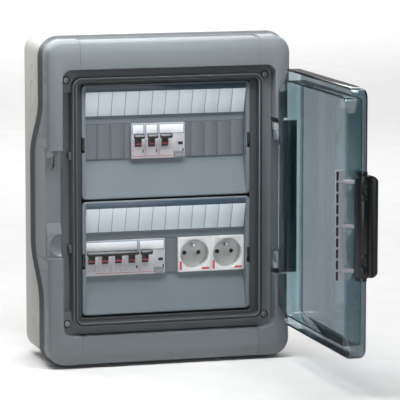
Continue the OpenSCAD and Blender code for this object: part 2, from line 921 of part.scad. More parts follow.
module faceplate(z) {
    color("#5b6468")
        difference() {
            translate([0, 0, z]) {
                across(-trough_hw - cheek_t, trough_hw + cheek_t)
                    polygon(concat(plate_line, backwards([for (p = plate_line) p + [plate_t, 0]])));
                both_sides() {
                    across(trough_hw, trough_hw + cheek_t)
                        polygon(sunk_line);
                    block(trough_hw, plate_hw, plate_y, plate_y + plate_t, -plate_hh, plate_hh);
                }
            }
            block(-trough_hw, trough_hw, face_y, window_y + 2 * plate_t,
                z - nose_h / 2 - fit_gap, z + nose_h / 2 + fit_gap);
            both_sides()
                block(latch_x - latch_w / 2 - slide_gap, latch_x + latch_w / 2 + slide_gap,
                    plate_y - cut, plate_y + plate_t + cut,
                    z - latch_h / 2 - latch_travel - slide_gap, z + latch_h / 2 + slide_gap);
        }
}

module upper_faceplate() {
    faceplate(row_z);
}

module lower_faceplate() {
    faceplate(-row_z);
}

// Strip of marking fields on the sloping part of a faceplate
module label_strip(z) {
    slope = (label_low_y - plate_y) / label_h;
    low = label_low;
    high = label_h - label_high;
    color("#c3d2dc")
        difference() {
            across(-row_hw, row_hw)
                translate([0, z + label_z])
                    polygon([
                        [label_low_y - slope * low, low],
                        [label_low_y - slope * high, high],
                        [label_low_y - slope * high - label_t, high],
                        [label_low_y - slope * low - label_t, low]
                    ]);
            for (m = [1:row_modules - 1])
                across(at_module(m) - label_t / 4, at_module(m) + label_t / 4)
                    translate([0, z + label_z])
                        polygon([
                            [label_low_y - label_t / 2, 0],
                            [plate_y - label_t / 2, label_h],
                            [plate_y - 2 * label_t, label_h],
                            [label_low_y - 2 * label_t, 0]
                        ]);
        }
}

module upper_label_strip() {
    label_strip(row_z);
}

module lower_label_strip() {
    label_strip(-row_z);
}

// Sliding latch in the rim of a faceplate, with a tongue behind the shelf
module faceplate_latch(side, z) {
    hw = latch_w / 2;
    back_y = shelf_y + shelf_t + slide_gap;
    color("#17191a")
        translate([side * latch_x, 0, z]) {
            block(-hw, hw, plate_y - label_t, shelf_y + slide_gap + eps, -latch_h / 2, latch_h / 2);
            block(-hw, hw, shelf_y + slide_gap, back_y + plate_t / 2, -foot_hh, foot_hh);
            block(-hw, hw, back_y, back_y + plate_t / 2, foot_hh - eps, foot_hh + tongue_l);
        }
}

module upper_left_latch() {
    faceplate_latch(-1, row_z);
}

module upper_right_latch() {
    faceplate_latch(1, row_z);
}

module lower_left_latch() {
    faceplate_latch(-1, -row_z);
}

module lower_right_latch() {
    faceplate_latch(1, -row_z);
}

// Blanking plate over empty modules, with legs that grip the window
module blank(m0, m1, z) {
    x0 = at_module(m0) + device_gap;
    x1 = at_module(m1) - device_gap;
    leg_y = window_y + 2 * plate_t + blank_t;
    color("#525b5f")
        difference() {
            union() {
                block(x0, x1, window_y - label_t, window_y - label_t + blank_t,
                    z - nose_h / 2, z + nose_h / 2);
                for (k = [-1, 1])
                    block(x0, x1, window_y - label_t, leg_y, z + k * (nose_h - blank_t) / 2 - blank_t / 2,
                        z + k * (nose_h - blank_t) / 2 + blank_t / 2);
            }
            for (m = [ceil(m0 + eps):floor(m1 - eps)])
                block(at_module(m) - label_t / 3, at_module(m) + label_t / 3, window_y - 2 * label_t,
                    window_y - label_t / 2, z - nose_h, z + nose_h);
        }
}

module upper_left_blank() {
    blank(0, left_m, row_z);
}

module upper_right_blank() {
    blank(upper_end_m, row_modules, row_z);
}

module lower_blank() {
    blank(lower_end_m, socket_m, -row_z);
}

// Side view of a modular device, with the fixed hook over the top of the rail
hook_z = rail_h / 2 - hook_lap;
clip_y = seat_y + rail_t + slide_gap;
heel_z = rail_h / 2 + heel_gap;
module device_side(z) {
    translate([0, z])
        polygon([
            [face_y, nose_h / 2],
            [face_y, -nose_h / 2],
            [shoulder_y, -nose_h / 2],
            [shoulder_y, -device_h / 2],
            [heel_y, -device_h / 2],
            [heel_y, -heel_z],
            [seat_y, -heel_z],
            [seat_y, rail_h / 2 + hook_gap],
            [seat_y + rail_t + hook_gap, rail_h / 2 + hook_gap],
            [seat_y + rail_t + hook_gap, hook_z],
            [heel_y, hook_z],
            [heel_y, device_h / 2],
            [shoulder_y, device_h / 2],
            [shoulder_y, nose_h / 2]
        ]);
}

screw_end_y = shoulder_y + terminal_in + terminal_l;
module terminal_holes(m0, poles, z) {
    for (i = [0:poles - 1], k = [-1, 1]) {
        x = mid_module(m0 + i, 1);
        rod_y(terminal_r + slide_gap, shoulder_y - cut, screw_end_y, x, z + k * terminal_z);
        end_z = z + k * device_h / 2;
        rod_z(entry_r, end_z - (k > 0 ? entry_d : cut), end_z + (k > 0 ? cut : entry_d),
            x, (shoulder_y + seat_y) / 2);
    }
}

module toggle_slot(x, z) {
    hw = drum_w / 2 + slide_gap;
    rod_x(drum_r + drum_gap, x - hw, x + hw, pivot_y, z - pivot_drop);
    rod_x(axle_r + run_gap, x - hw - axle_l, x + hw + axle_l, pivot_y, z - pivot_drop);
}

module clip_slot(x, z) {
    block(x - clip_w / 2 - slide_gap, x + clip_w / 2 + slide_gap, clip_y - slide_gap / 2,
        clip_y + clip_t + slide_gap, z - device_h, z);
}

module label_seat(m0, m1, z) {
    block(at_module(m0) + cover_margin, at_module(m1) - cover_margin, face_y - cut, face_y + cover_t / 2,
        z + nose_h / 2 - cover_h - cover_margin, z + nose_h / 2 - cover_margin);
}

// Miniature breaker with one toggle opening per pole
module breaker(m0, poles, z) {
    color("#e4e6e4")
        difference() {
            across(at_module(m0) + device_gap, at_module(m0 + poles) - device_gap)
                device_side(z);
            terminal_holes(m0, poles, z);
            for (i = [0:poles - 1])
                toggle_slot(mid_module(m0 + i, 1), z);
            clip_slot(mid_module(m0, poles), z);
            label_seat(m0, m0 + poles, z);
        }
}

// Toggle with one drum per pole under a common head, tilted up to the on position
module toggle(m0, poles, z) {
    x0 = mid_module(m0, 1);
    x1 = mid_module(m0 + poles - 1, 1);
    color("#1a1c1e")
        translate([0, pivot_y, z - pivot_drop])
            rotate([-toggle_tilt, 0, 0]) {
                for (i = [0:poles - 1]) {
                    x = mid_module(m0 + i, 1);
                    rod_x(drum_r, x - drum_w / 2, x + drum_w / 2, 0, 0);
                    rod_x(axle_r, x - drum_w / 2 - axle_l, x + drum_w / 2 + axle_l, 0, 0);
                    block(x - drum_w / 2, x + drum_w / 2, -lever_l, 0, -lever_t / 2, lever_t / 2);
                }
                block(x0 - head_w / 2, x1 + head_w / 2, -lever_l - head_d / 2, -lever_l + head_d / 2,
                    -head_h / 2, head_h / 2);
            }
}

// Spring clip that slides up behind the lower edge of the rail
module rail_clip(m0, modules, z) {
    x = mid_module(m0, modules);
    color("#d9dbd8")
        block(x - clip_w / 2, x + clip_w / 2, clip_y, clip_y + clip_t,
            z - device_h / 2 - clip_t, z - hook_z);
}

module left_breaker() {
    breaker(left_m, 1, row_z);
}

module left_breaker_toggle() {
    toggle(left_m, 1, row_z);
}

module left_breaker_clip() {
    rail_clip(left_m, 1, row_z);
}

module right_breaker() {
    breaker(right_m, 1, row_z);
}

module right_breaker_toggle() {
    toggle(right_m, 1, row_z);
}

module right_breaker_clip() {
    rail_clip(right_m, 1, row_z);
}

module four_pole_breaker() {
    breaker(0, lower_poles, -row_z);
}

module four_pole_toggle() {
    toggle(0, lower_poles, -row_z);
}

module four_pole_clip() {
    rail_clip(0, lower_poles, -row_z);
}

// Case of a residual current device, hollow and open to its right side
module residual_case(m0, z) {
    x0 = at_module(m0) + device_gap;
    x1 = at_module(m0 + residual_modules) - device_gap;
    mid = mid_module(m0, residual_modules);
    color("#e4e6e4")
        difference() {
            across(x0, x1 - side_t)
                device_side(z);
            block(x0 + hollow_wall, x1, shoulder_y + hollow_wall, seat_y - hollow_wall,
                z - hollow_h / 2, z + hollow_h / 2);
            terminal_holes(m0, residual_modules, z);
            toggle_slot(mid_module(m0, 1), z);
            clip_slot(mid, z);
            label_seat(m0, m0 + residual_modules - side_t / module_w, z);
            block(mid + button_x - button_w / 2 - slide_gap, mid + button_x + button_w / 2 + slide_gap,
                face_y - cut, face_y + button_in + button_travel + slide_gap,
                z - button_drop - button_h / 2 - slide_gap, z - button_drop + button_h / 2 + slide_gap);
            rod_y(rod_r + run_gap, face_y, shoulder_y + 2 * hollow_wall, mid + button_x, z - button_drop);
        }
}

module residual_side(m0, z) {
    x1 = at_module(m0 + residual_modules) - device_gap;
    color("#dcdedc")
        across(x1 - side_t, x1)
            device_side(z);
}

// Spring-returned test button with the push rod that reaches into the hollow
module test_button(m0, z) {
    mid = mid_module(m0, residual_modules) + button_x;
    color("#7d8284") {
        block(mid - button_w / 2, mid + button_w / 2, face_y - button_out, face_y + button_in,
            z - button_drop - button_h / 2, z - button_drop + button_h / 2);
        rod_y(rod_r, face_y + button_in - eps, shoulder_y + 2 * hollow_wall, mid, z - button_drop);
    }
}

// Ring core of the sensing transformer, flat against the back of the hollow
module residual_core(m0, z) {
    mid = mid_module(m0, residual_modules);
    r = hollow_h / 4 - slide_gap;
    back_y = seat_y - hollow_wall;
    color("#b06a35")
        difference() {
            rod_y(r, back_y - r, back_y, mid, z - r);
            rod_y(r / 2, back_y - r - cut, back_y + cut, mid, z - r);
        }
}

// Trip relay with its plunger, on the back of the hollow above the core
module trip_relay(m0, z) {
    mid = mid_module(m0, residual_modules);
    back_y = seat_y - hollow_wall;
    color("#3c4a6a") {
        block(mid - module_w / 2, mid + module_w / 2, back_y - module_w, back_y,
            z + relay_margin, z + hollow_h / 2 - relay_margin);
        rod_y(rod_r, back_y - module_w - plunger_l, back_y - module_w + eps, mid, z + hollow_h / 4);
    }
}

module upper_residual_case() {
    residual_case(upper_m, row_z);
}

module upper_residual_side() {
    residual_side(upper_m, row_z);
}

module upper_residual_toggle() {
    toggle(upper_m, 1, row_z);
}

module upper_test_button() {
    test_button(upper_m, row_z);
}

module upper_residual_core() {
    residual_core(upper_m, row_z);
}

module upper_trip_relay() {
    trip_relay(upper_m, row_z);
}

module upper_residual_clip() {
    rail_clip(upper_m, residual_modules, row_z);
}

module lower_residual_case() {
    residual_case(lower_m, -row_z);
}

module lower_residual_side() {
    residual_side(lower_m, -row_z);
}

module lower_residual_toggle() {
    toggle(lower_m, 1, -row_z);
}

module lower_test_button() {
    test_button(lower_m, -row_z);
}

module lower_residual_core() {
    residual_core(lower_m, -row_z);
}

module lower_trip_relay() {
    trip_relay(lower_m, -row_z);
}

module lower_residual_clip() {
    rail_clip(lower_m, residual_modules, -row_z);
}

// Clear cover over the marking field of one device
module label_cover(m0, m1, z) {
    margin = cover_margin + device_gap;
    top_z = z + nose_h / 2;
    block(at_module(m0) + margin, at_module(m1) - margin, face_y - cover_t / 2, face_y + cover_t / 2,
        top_z - cover_h - cover_margin + device_gap, top_z - margin);
}

module device_label_covers() {
    trim = side_t / module_w;
    color("#9fc4d8") {
        label_cover(left_m, left_m + 1, row_z);
        label_cover(right_m, right_m + 1, row_z);
        label_cover(upper_m, upper_end_m - trim, row_z);
        label_cover(0, lower_m, -row_z);
        label_cover(lower_m, lower_end_m - trim, -row_z);
    }
}

module terminal_screw(m, z) {
    x = mid_module(m, 1);
    slot_t = terminal_r / 2.5;
    difference() {
        rod_y(terminal_r, screw_end_y - terminal_l, screw_end_y, x, z);
        block(x - terminal_r, x + terminal_r, shoulder_y, shoulder_y + terminal_in + slot_t,
            z - slot_t / 2, z + slot_t / 2);
    }
}

module terminal_screws() {
    color("#c9c6b6")
        for (k = [-1, 1]) {
            for (m = [left_m, right_m, upper_m, upper_m + 1])
                terminal_screw(m, row_z + k * terminal_z);
            for (m = [0:lower_end_m - 1])
                terminal_screw(m, k * terminal_z - row_z);
        }
}

// Earthed socket outlet that clips to the rail
socket_floor_y = face_y + socket_d;
sleeve_y = socket_floor_y + sleeve_in;
module socket_outlet(m0) {
    mid = mid_module(m0, socket_modules);
    color("#f0f1ee")
        difference() {
            across(at_module(m0) + device_gap, at_module(m0 + socket_modules) - device_gap)
                device_side(-row_z);
            rod_y(socket_r, face_y - cut, socket_floor_y, mid, -row_z);
            for (i = [-1, 1]) {
                x = mid + i * contact_pitch / 2;
                rod_y(contact_r, face_y, sleeve_y + cut, x, -row_z);
                rod_y(contact_r + sleeve_t + slide_gap, sleeve_y, sleeve_y + sleeve_l, x, -row_z);
            }
            rod_y(earth_pin_r + run_gap, face_y, socket_floor_y + sleeve_l / 2, mid, earth_pin_z - row_z);
        }
}

module left_socket() {
    socket_outlet(socket_m);
}

module right_socket() {
    socket_outlet(socket_m + socket_modules);
}

module socket_contacts() {
    color("#c39a45")
        for (n = [0, 1], i = [-1, 1]) {
            x = mid_module(socket_m + n * socket_modules, socket_modules) + i * contact_pitch / 2;
            difference() {
                rod_y(contact_r + sleeve_t, sleeve_y, sleeve_y + sleeve_l, x, -row_z);
                rod_y(contact_r, sleeve_y - cut, sleeve_y + sleeve_l + cut, x, -row_z);
            }
        }
}

module earth_pins() {
    color("#b9bcbc")
        for (n = [0, 1]) {
            x = mid_module(socket_m + n * socket_modules, socket_modules);
            rod_y(earth_pin_r, socket_floor_y - earth_pin_l, socket_floor_y + sleeve_l / 2,
                x, earth_pin_z - row_z);
        }
}

// Smoked door: a shallow tray with an inner rim for the seal and lugs for the handle
module door() {
    color("#5d7f8e", 0.5)
        on_door()
            difference() {
                union() {
                    slab(door_hw, door_hh, door_r, door_y, door_y + door_t);
                    ring(door_hw, door_hh, door_r, door_t, door_y, rim_y);
                    ring(inner_hw, inner_hh, rib_r - rib_t / 2, inner_t, door_y + eps, seal_top_y - shut_gap);
                    block(door_hw - door_t, door_hw, rim_y - cut, hinge_rim_y, -hinge_rim_hh, hinge_rim_hh);
                    both_ends()
                        handle_lug();
                }
                around(door_hw, door_hh, door_r)
                    translate([0, door_y])
                        edge_cut(door_edge_r);
                rod_z(handle_pin_r + run_gap, -door_hh, door_hh, barrel_x, barrel_y);
            }
}

// Lug on the edge of the door that carries one end of the handle pin
module handle_lug() {
    rod_z(lug_r, lug_z, lug_z + lug_t, barrel_x, barrel_y);
    block(barrel_x, door_t / 2 - door_hw, barrel_y - lug_r, barrel_y + lug_r, lug_z, lug_z + lug_t);
}

// Black bar on the hinge side of the door, with two knuckles
module hinge_bar() {
    end_y = hinge_rim_y - bar_setback;
    color("#22282b")
        on_door()
            both_ends()
                difference() {
                    union() {
                        block(door_hw, door_hw + bar_t, door_y + bar_drop, rim_y + cut, -eps, hinge_hh);
                        block(door_hw, door_hw + bar_t, rim_y, end_y, knuckle_z, hinge_hh);
                        block(door_hw, hinge_x, hinge_y - knuckle_r, hinge_y + knuckle_r,
                            knuckle_z, knuckle_z + knuckle_l);
                        rod_z(knuckle_r, knuckle_z, knuckle_z + knuckle_l, hinge_x, hinge_y);
                    }
                    rod_z(pin_r + run_gap, knuckle_z - cut, knuckle_z + knuckle_l + cut, hinge_x, hinge_y);
                }
}

module hinge_pins() {
    color("#c8cacb")
        on_door()
            both_ends()
                rod_z(pin_r, knuckle_z, bearing_z + bearing_l, hinge_x, hinge_y);
}

// Black handle: a barrel beside the door and a grip in front of it
module door_handle() {
    grip_hh = handle_hh + grip_over;
    color("#1c1f21")
        on_door()
            difference() {
                union() {
                    rod_z(barrel_r, -handle_hh, handle_hh, barrel_x, barrel_y);
                    block(barrel_x - barrel_r / 2, barrel_x + barrel_r / 2, grip_y - grip_t / 2, barrel_y,
                        -handle_hh, handle_hh);
                    translate([barrel_x, 0, 0])
                        slab(grip_w / 2, grip_hh, grip_w / 2 - eps, grip_y - grip_t, grip_y);
                }
                rod_z(handle_pin_r + run_gap, -door_hh, door_hh, barrel_x, barrel_y);
            }
}

module handle_pin() {
    color("#1c1f21")
        on_door()
            rod_z(handle_pin_r, -lug_z - lug_t, lug_z + lug_t, barrel_x, barrel_y);
}

// Slotted latch plate behind the handle, on three arms
module latch_plate() {
    arms = [arm_in - tab_hh, 0, tab_hh - arm_in];
    pitch = 2 * tab_hh / tab_slots;
    top_y = tab_y - tab_w;
    color("#c8c6d2")
        on_door() {
            difference() {
                block(tab_x - tab_t / 2, tab_x + tab_t / 2, top_y, tab_y, -tab_hh, tab_hh);
                for (i = [0:tab_slots - 1])
                    translate([0, 0, (i + 0.5) * pitch - tab_hh])
                        block(tab_x - tab_t, tab_x + tab_t, tab_y - slot_edge - slot_w, tab_y - slot_edge,
                            -slot_l / 2, slot_l / 2);
            }
            for (z = arms)
                translate([0, 0, z - tab_t])
                    linear_extrude(2 * tab_t)
                        difference() {
                            polygon([
                                [barrel_x, barrel_y + barrel_r / 2],
                                [barrel_x + barrel_r * 0.8, barrel_y + barrel_r / 2],
                                [tab_x + tab_t / 2, top_y],
                                [tab_x - tab_t / 2, top_y + 2 * tab_t]
                            ]);
                            translate([barrel_x, barrel_y])
                                circle(barrel_r);
                        }
        }
}

rear_box();
box_seal();
front_cover();
cover_screws();
door_seal();
hinge_bearings();
latch_keepers();
uprights();
upper_rail();
lower_rail();
rail_screws();
earth_bar_holder();
earth_bar();
upper_faceplate();
lower_faceplate();
upper_label_strip();
lower_label_strip();
upper_left_latch();
upper_right_latch();
lower_left_latch();
lower_right_latch();
upper_left_blank();
upper_right_blank();
lower_blank();
left_breaker();
left_breaker_toggle();
left_breaker_clip();
right_breaker();
right_breaker_toggle();
right_breaker_clip();
four_pole_breaker();
four_pole_toggle();
four_pole_clip();
upper_residual_case();
upper_residual_side();
upper_residual_toggle();
upper_test_button();
upper_residual_core();
upper_trip_relay();
upper_residual_clip();
lower_residual_case();
lower_residual_side();
lower_residual_toggle();
lower_test_button();
lower_residual_core();
lower_trip_relay();
lower_residual_clip();
device_label_covers();
terminal_screws();
left_socket();
right_socket();
socket_contacts();
earth_pins();
door();
hinge_bar();
hinge_pins();
door_handle();
handle_pin();
latch_plate();
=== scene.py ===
import math

import bmesh
import bpy
from mathutils import Matrix, Vector


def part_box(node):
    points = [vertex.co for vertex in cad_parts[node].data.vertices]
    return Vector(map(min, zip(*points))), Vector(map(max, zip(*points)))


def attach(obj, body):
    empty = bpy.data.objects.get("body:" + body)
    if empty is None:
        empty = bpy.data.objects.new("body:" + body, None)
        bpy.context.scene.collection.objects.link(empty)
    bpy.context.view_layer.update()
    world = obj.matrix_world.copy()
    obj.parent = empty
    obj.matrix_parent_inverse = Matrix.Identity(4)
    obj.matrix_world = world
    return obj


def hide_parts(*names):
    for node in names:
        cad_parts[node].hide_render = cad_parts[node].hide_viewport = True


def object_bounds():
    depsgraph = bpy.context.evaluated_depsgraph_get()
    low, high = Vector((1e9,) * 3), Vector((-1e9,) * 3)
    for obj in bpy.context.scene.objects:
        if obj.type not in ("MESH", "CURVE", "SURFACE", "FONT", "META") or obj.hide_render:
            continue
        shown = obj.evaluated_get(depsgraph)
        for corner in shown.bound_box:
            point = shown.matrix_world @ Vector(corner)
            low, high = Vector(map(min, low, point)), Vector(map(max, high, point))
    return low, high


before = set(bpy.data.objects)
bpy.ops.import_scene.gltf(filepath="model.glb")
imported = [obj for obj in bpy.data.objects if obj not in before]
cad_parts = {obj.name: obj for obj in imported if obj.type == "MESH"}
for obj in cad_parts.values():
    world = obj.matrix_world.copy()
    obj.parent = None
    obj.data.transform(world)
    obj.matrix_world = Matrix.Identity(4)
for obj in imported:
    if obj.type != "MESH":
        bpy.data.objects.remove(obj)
cad_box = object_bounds()


# Rear box: a deep tray of pale beige-grey moulded plastic that is screwed to the wall through four holes.
# Flat rings on its walls mark the cable entries, and four posts inside take the cover screws.
mm = 0.001
box_low, box_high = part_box("rear_box")
box_wall, box_corner, back_round = 3 * mm, 20.5 * mm, 5 * mm


class Wire:
    """An output in a finish's node tree. Sums on it become Math nodes, and node adds any other kind."""

    def __init__(self, tree, socket=None):
        self.tree = tree
        self.socket = socket

    def node(self, kind, settings=None, values=None, out=0):
        """Adds a node with its settings and inputs, and gives back one of its outputs."""
        made = self.tree.nodes.new("ShaderNode" + kind)
        for key, value in (settings or {}).items():
            setattr(made, key, value)
        for key, value in (values or {}).items():
            if isinstance(value, Wire):
                self.tree.links.new(value.socket, made.inputs[key])
            else:
                made.inputs[key].default_value = value
        return Wire(self.tree, made.outputs[out] if len(made.outputs) else None)

    def maths(self, operation, other):
        return self.node("Math", {"operation": operation}, {0: self, 1: other})

    def blend(self, first, second):
        """Runs from one colour to another."""
        return self.node("Mix", {"data_type": "RGBA"}, {0: self, 6: first, 7: second}, 2)

    def __add__(self, other):
        return self.maths("ADD", other)

    def __sub__(self, other):
        return self.maths("SUBTRACT", other)

    def __mul__(self, other):
        return self.maths("MULTIPLY", other)

    __radd__ = __add__


def shade(colour, factor):
    """A colour made lighter or darker, with full cover."""
    return tuple(min(1.0, part * factor) for part in colour) + (1.0,)


def finish(name, paint, body=None):
    """A finish from what paint gives back, the values of a Principled shader, and perhaps a tint inside."""
    made = bpy.data.materials.new(name)
    made.use_nodes = True
    made.node_tree.nodes.clear()
    start = Wire(made.node_tree)
    ends = {"Surface": start.node("BsdfPrincipled", {}, paint(start))}
    if body:
        ends["Volume"] = start.node("VolumeAbsorption", {}, body)
    start.node("OutputMaterial", {}, ends)
    return made


def moulded(name, colour, rough, grain=0.5, relief=0.04):
    """Moulded plastic: fine grain of a size in millimetres, with tone and sheen that drift slightly."""
    def paint(start):
        place = start.node("TexCoord", out="Object")
        drift = start.node("TexNoise", {}, {"Vector": place, "Scale": 16.0, "Detail": 3.0})
        pits = start.node("TexNoise", {}, {"Vector": place, "Scale": 1 / (grain * mm), "Detail": 2.0})
        tone = (drift * 0.75 + pits * 0.25).blend(shade(colour, 0.93), shade(colour, 1.07))
        bump = start.node("Bump", {}, {"Strength": relief, "Distance": 0.2 * mm, "Height": pits})
        sheen = rough + (pits - 0.5) * 0.16 + (drift - 0.5) * 0.08
        return {"Base Color": tone, "Roughness": sheen, "Normal": bump}
    return finish(name, paint)


def work_on(piece):
    """Makes a piece the only one that the operators act on."""
    if bpy.context.object and bpy.context.object.mode == "EDIT":
        bpy.ops.object.mode_set(mode="OBJECT")
    bpy.ops.object.select_all(action="DESELECT")
    piece.select_set(True)
    bpy.context.view_layer.objects.active = piece


def close():
    """Ends the editing of the active piece."""
    bpy.ops.object.mode_set(mode="OBJECT")


def pick(piece, kind, test):
    """Opens a piece for editing and selects those of its edges or faces that pass a test."""
    work_on(piece)
    bpy.ops.object.mode_set(mode="EDIT")
    bpy.ops.mesh.select_mode(type=kind)
    bpy.ops.mesh.select_all(action="DESELECT")
    shape = bmesh.from_edit_mesh(piece.data)
    for part in shape.edges if kind == "EDGE" else shape.faces:
        middle = sum((corner.co for corner in part.verts), Vector()) / len(part.verts)
        if test(middle, part):
            part.select_set(True)
    shape.select_flush_mode()
    bmesh.update_edit_mesh(piece.data)


def modify(piece, kind, **settings):
    """Puts a modifier on a piece and applies it."""
    work_on(piece)
    change = piece.modifiers.new(kind.lower(), kind)
    for key, value in settings.items():
        setattr(change, key, value)
    bpy.ops.object.modifier_apply(modifier=change.name)


def cut(piece, *tools, operation="DIFFERENCE"):
    """Cuts other shapes out of a piece, or works them into it in another way, and throws them away."""
    for tool in tools:
        modify(piece, "BOOLEAN", object=tool, operation=operation, solver="EXACT")
        bpy.data.objects.remove(tool)


def weld(piece, *others):
    """Fuses other solid shapes with a piece."""
    cut(piece, *others, operation="UNION")


def join(piece, *others):
    """Puts other shapes in one piece with the first, each with its own skin."""
    work_on(piece)
    for other in others:
        other.select_set(True)
    bpy.ops.object.join()
    return piece


def soften(piece, width=0.0, segments=2, angle=32):
    """Breaks the sharp edges of a piece and lets its skin shade smoothly between them."""
    if width:
        modify(piece, "BEVEL", width=width, segments=segments, limit_method="ANGLE",
               angle_limit=math.radians(angle), miter_outer="MITER_ARC", use_clamp_overlap=True)
    work_on(piece)
    bpy.ops.object.shade_smooth_by_angle(angle=math.radians(angle))
    return piece


def gather(name, pieces):
    """Puts a list of shapes in one piece with a name."""
    piece = join(*pieces)
    piece.name = name
    return soften(piece)


def dress(piece, body, slot, finish_of, *nodes):
    """Gives a piece its finish, the body that carries it and the solids that it stands for. The slot is not
    used.
    """
    piece.data.materials.clear()
    piece.data.materials.append(finish_of)
    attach(piece, body)
    if nodes:
        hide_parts(*nodes)


def fresh(name, add, **settings):
    """Adds a mesh of one of Blender's own kinds and makes it the only one selected."""
    bpy.ops.object.select_all(action="DESELECT")
    add(**settings)
    bpy.context.object.name = name
    return bpy.context.object


def settle():
    """Applies the place, turn and scale of the active piece to its mesh."""
    bpy.ops.object.transform_apply(location=True, rotation=True, scale=True)


def bar(name, low, high, edge=0.0, segments=2):
    """A block between two corners, with all its edges rounded where it has an edge width."""
    low = Vector(low)
    high = Vector(high)
    piece = fresh(name, bpy.ops.mesh.primitive_cube_add, size=1, location=(low + high) / 2)
    piece.scale = high - low
    settle()
    if edge:
        bpy.ops.object.mode_set(mode="EDIT")
        bpy.ops.mesh.select_all(action="SELECT")
        bpy.ops.mesh.bevel(offset=edge, segments=segments, affect="EDGES")
        close()
    return piece


def rod(name, radius, start, end, edge=0.0, sides=32):
    """A round rod between two points, with its end edges rounded where it has an edge width."""
    start = Vector(start)
    end = Vector(end)
    length = (end - start).length
    piece = fresh(name, bpy.ops.mesh.primitive_cylinder_add, vertices=sides, radius=radius, depth=length)
    piece.rotation_euler = (end - start).to_track_quat("Z", "Y").to_euler()
    piece.location = (start + end) / 2
    settle()
    if edge:
        pick(piece, "EDGE", lambda middle, part: len(part.link_faces) == 2
             and max(len(face.verts) for face in part.link_faces) == sides)
        bpy.ops.mesh.bevel(offset=edge, segments=3, affect="EDGES")
        close()
    return piece


class Hoop:
    """A skin drawn ring by ring along Y. A ring is a rounded rectangle: half width, half height, corner."""

    def __init__(self, name, size, y, grow=0.0, centre=(0.0, 0.0), cuts=0, lid=True):
        self.size = tuple(part + grow for part in size)
        self.y = y
        self.centre = centre
        half_x, half_z, corner = self.size
        self.piece = fresh(name, bpy.ops.mesh.primitive_plane_add, size=2,
                           location=(centre[0], y, centre[1]), rotation=(math.pi / 2, 0, 0))
        self.piece.scale = (half_x, half_z, 1)
        settle()
        bpy.ops.object.mode_set(mode="EDIT")
        bpy.ops.mesh.select_all(action="SELECT")
        bpy.ops.mesh.bevel(offset=corner, segments=8, affect="VERTICES")
        if not lid:
            bpy.ops.mesh.delete(type="ONLY_FACE")
        if cuts:
            pick(self.piece, "EDGE", lambda middle, part: part.calc_length() > half_z
                 and abs(middle.x - centre[0]) > half_x - mm)
            bpy.ops.mesh.subdivide(number_cuts=cuts)
        bpy.ops.mesh.select_mode(type="EDGE")
        bpy.ops.mesh.select_all(action="SELECT")

    def to(self, size, y, grow=0.0, rise=None):
        """Draws the skin on to a ring of a size, grown all round. Rise adds a depth at each place."""
        half_x, half_z, corner = (part + grow for part in size)
        old_x, old_z, old_corner = self.size
        bpy.ops.mesh.extrude_edges_move()
        shape = bmesh.from_edit_mesh(self.piece.data)
        for point in shape.verts:
            if not point.select:
                continue
            x = point.co.x - self.centre[0]
            z = point.co.z - self.centre[1]
            core_x = max(old_corner - old_x, min(old_x - old_corner, x))
            core_z = max(old_corner - old_z, min(old_z - old_corner, z))
            new_x = core_x * (half_x - corner) / (old_x - old_corner) + (x - core_x) * corner / old_corner
            new_z = core_z * (half_z - corner) / (old_z - old_corner) + (z - core_z) * corner / old_corner
            new_y = y + (rise(new_x, new_z) if rise else 0.0)
            point.co = (new_x + self.centre[0], new_y, new_z + self.centre[1])
        bmesh.update_edit_mesh(self.piece.data)
        self.size = (half_x, half_z, corner)
        self.y = y

    def arc(self, grow, y, sideways_first, steps=4, rise=None):
        """Draws the skin round a quarter turn, while its size grows and its depth goes on to y."""
        first_size = self.size
        first_y = self.y
        for step in range(1, steps + 1):
            turn = math.pi / 2 * step / steps
            out, along = math.sin(turn), 1 - math.cos(turn)
            if not sideways_first:
                out, along = along, out
            self.to(first_size, first_y + (y - first_y) * along, grow * out, rise)

    def done(self, bridge=False):
        """Closes the last ring with a lid, or with the first ring where the skin runs round."""
        if bridge:
            bpy.ops.mesh.select_all(action="DESELECT")
            bpy.ops.mesh.select_non_manifold()
            bpy.ops.mesh.bridge_edge_loops()
        else:
            bpy.ops.mesh.edge_face_add()
            bpy.ops.mesh.select_all(action="DESELECT")
            bpy.ops.mesh.select_non_manifold()
            if self.piece.data.total_edge_sel:
                bpy.ops.mesh.edge_face_add()
        bpy.ops.mesh.select_all(action="SELECT")
        bpy.ops.mesh.normals_make_consistent(inside=False)
        close()
        return self.piece


box_plastic = moulded("box_plastic", (0.40, 0.40, 0.375), 0.5)
box = (box_high.x, box_high.z, box_corner)
back_field = (box_high.x - 18 * mm, box_high.z - 18 * mm, 8 * mm)
skin = Hoop("rear_box_tray", back_field, -mm)
skin.to(back_field, 0, mm)
skin.to(box, 0, -back_round)
skin.arc(back_round, -back_round, True)
skin.to(box, box_low.y + 0.6 * mm)
skin.arc(-0.6 * mm, box_low.y, False, 2)
skin.to(box, box_low.y, -box_wall)
skin.to(box, -box_wall, -box_wall)
rear_box = skin.done()
fix_x, fix_z, fix_r = 120 * mm, 185 * mm, 3 * mm
post_x, post_z, post_r = 131.9 * mm, 156.9 * mm, 6 * mm
for side in (-1, 1):
    for end in (-1, 1):
        x, z = side * fix_x, end * fix_z
        weld(rear_box, rod("fixing_boss", 9 * mm, (x, -2 * mm, z), (x, 0, z)))
        cut(rear_box, rod("fixing_hole", fix_r, (x, -9 * mm, z), (x, mm, z)))
        x, z = side * post_x, end * post_z
        weld(rear_box, rod("screw_post", post_r, (x, box_low.y + 3 * mm, z), (x, -2 * mm, z)))
dress(soften(rear_box), "board", "box_plastic", box_plastic, "rear_box")


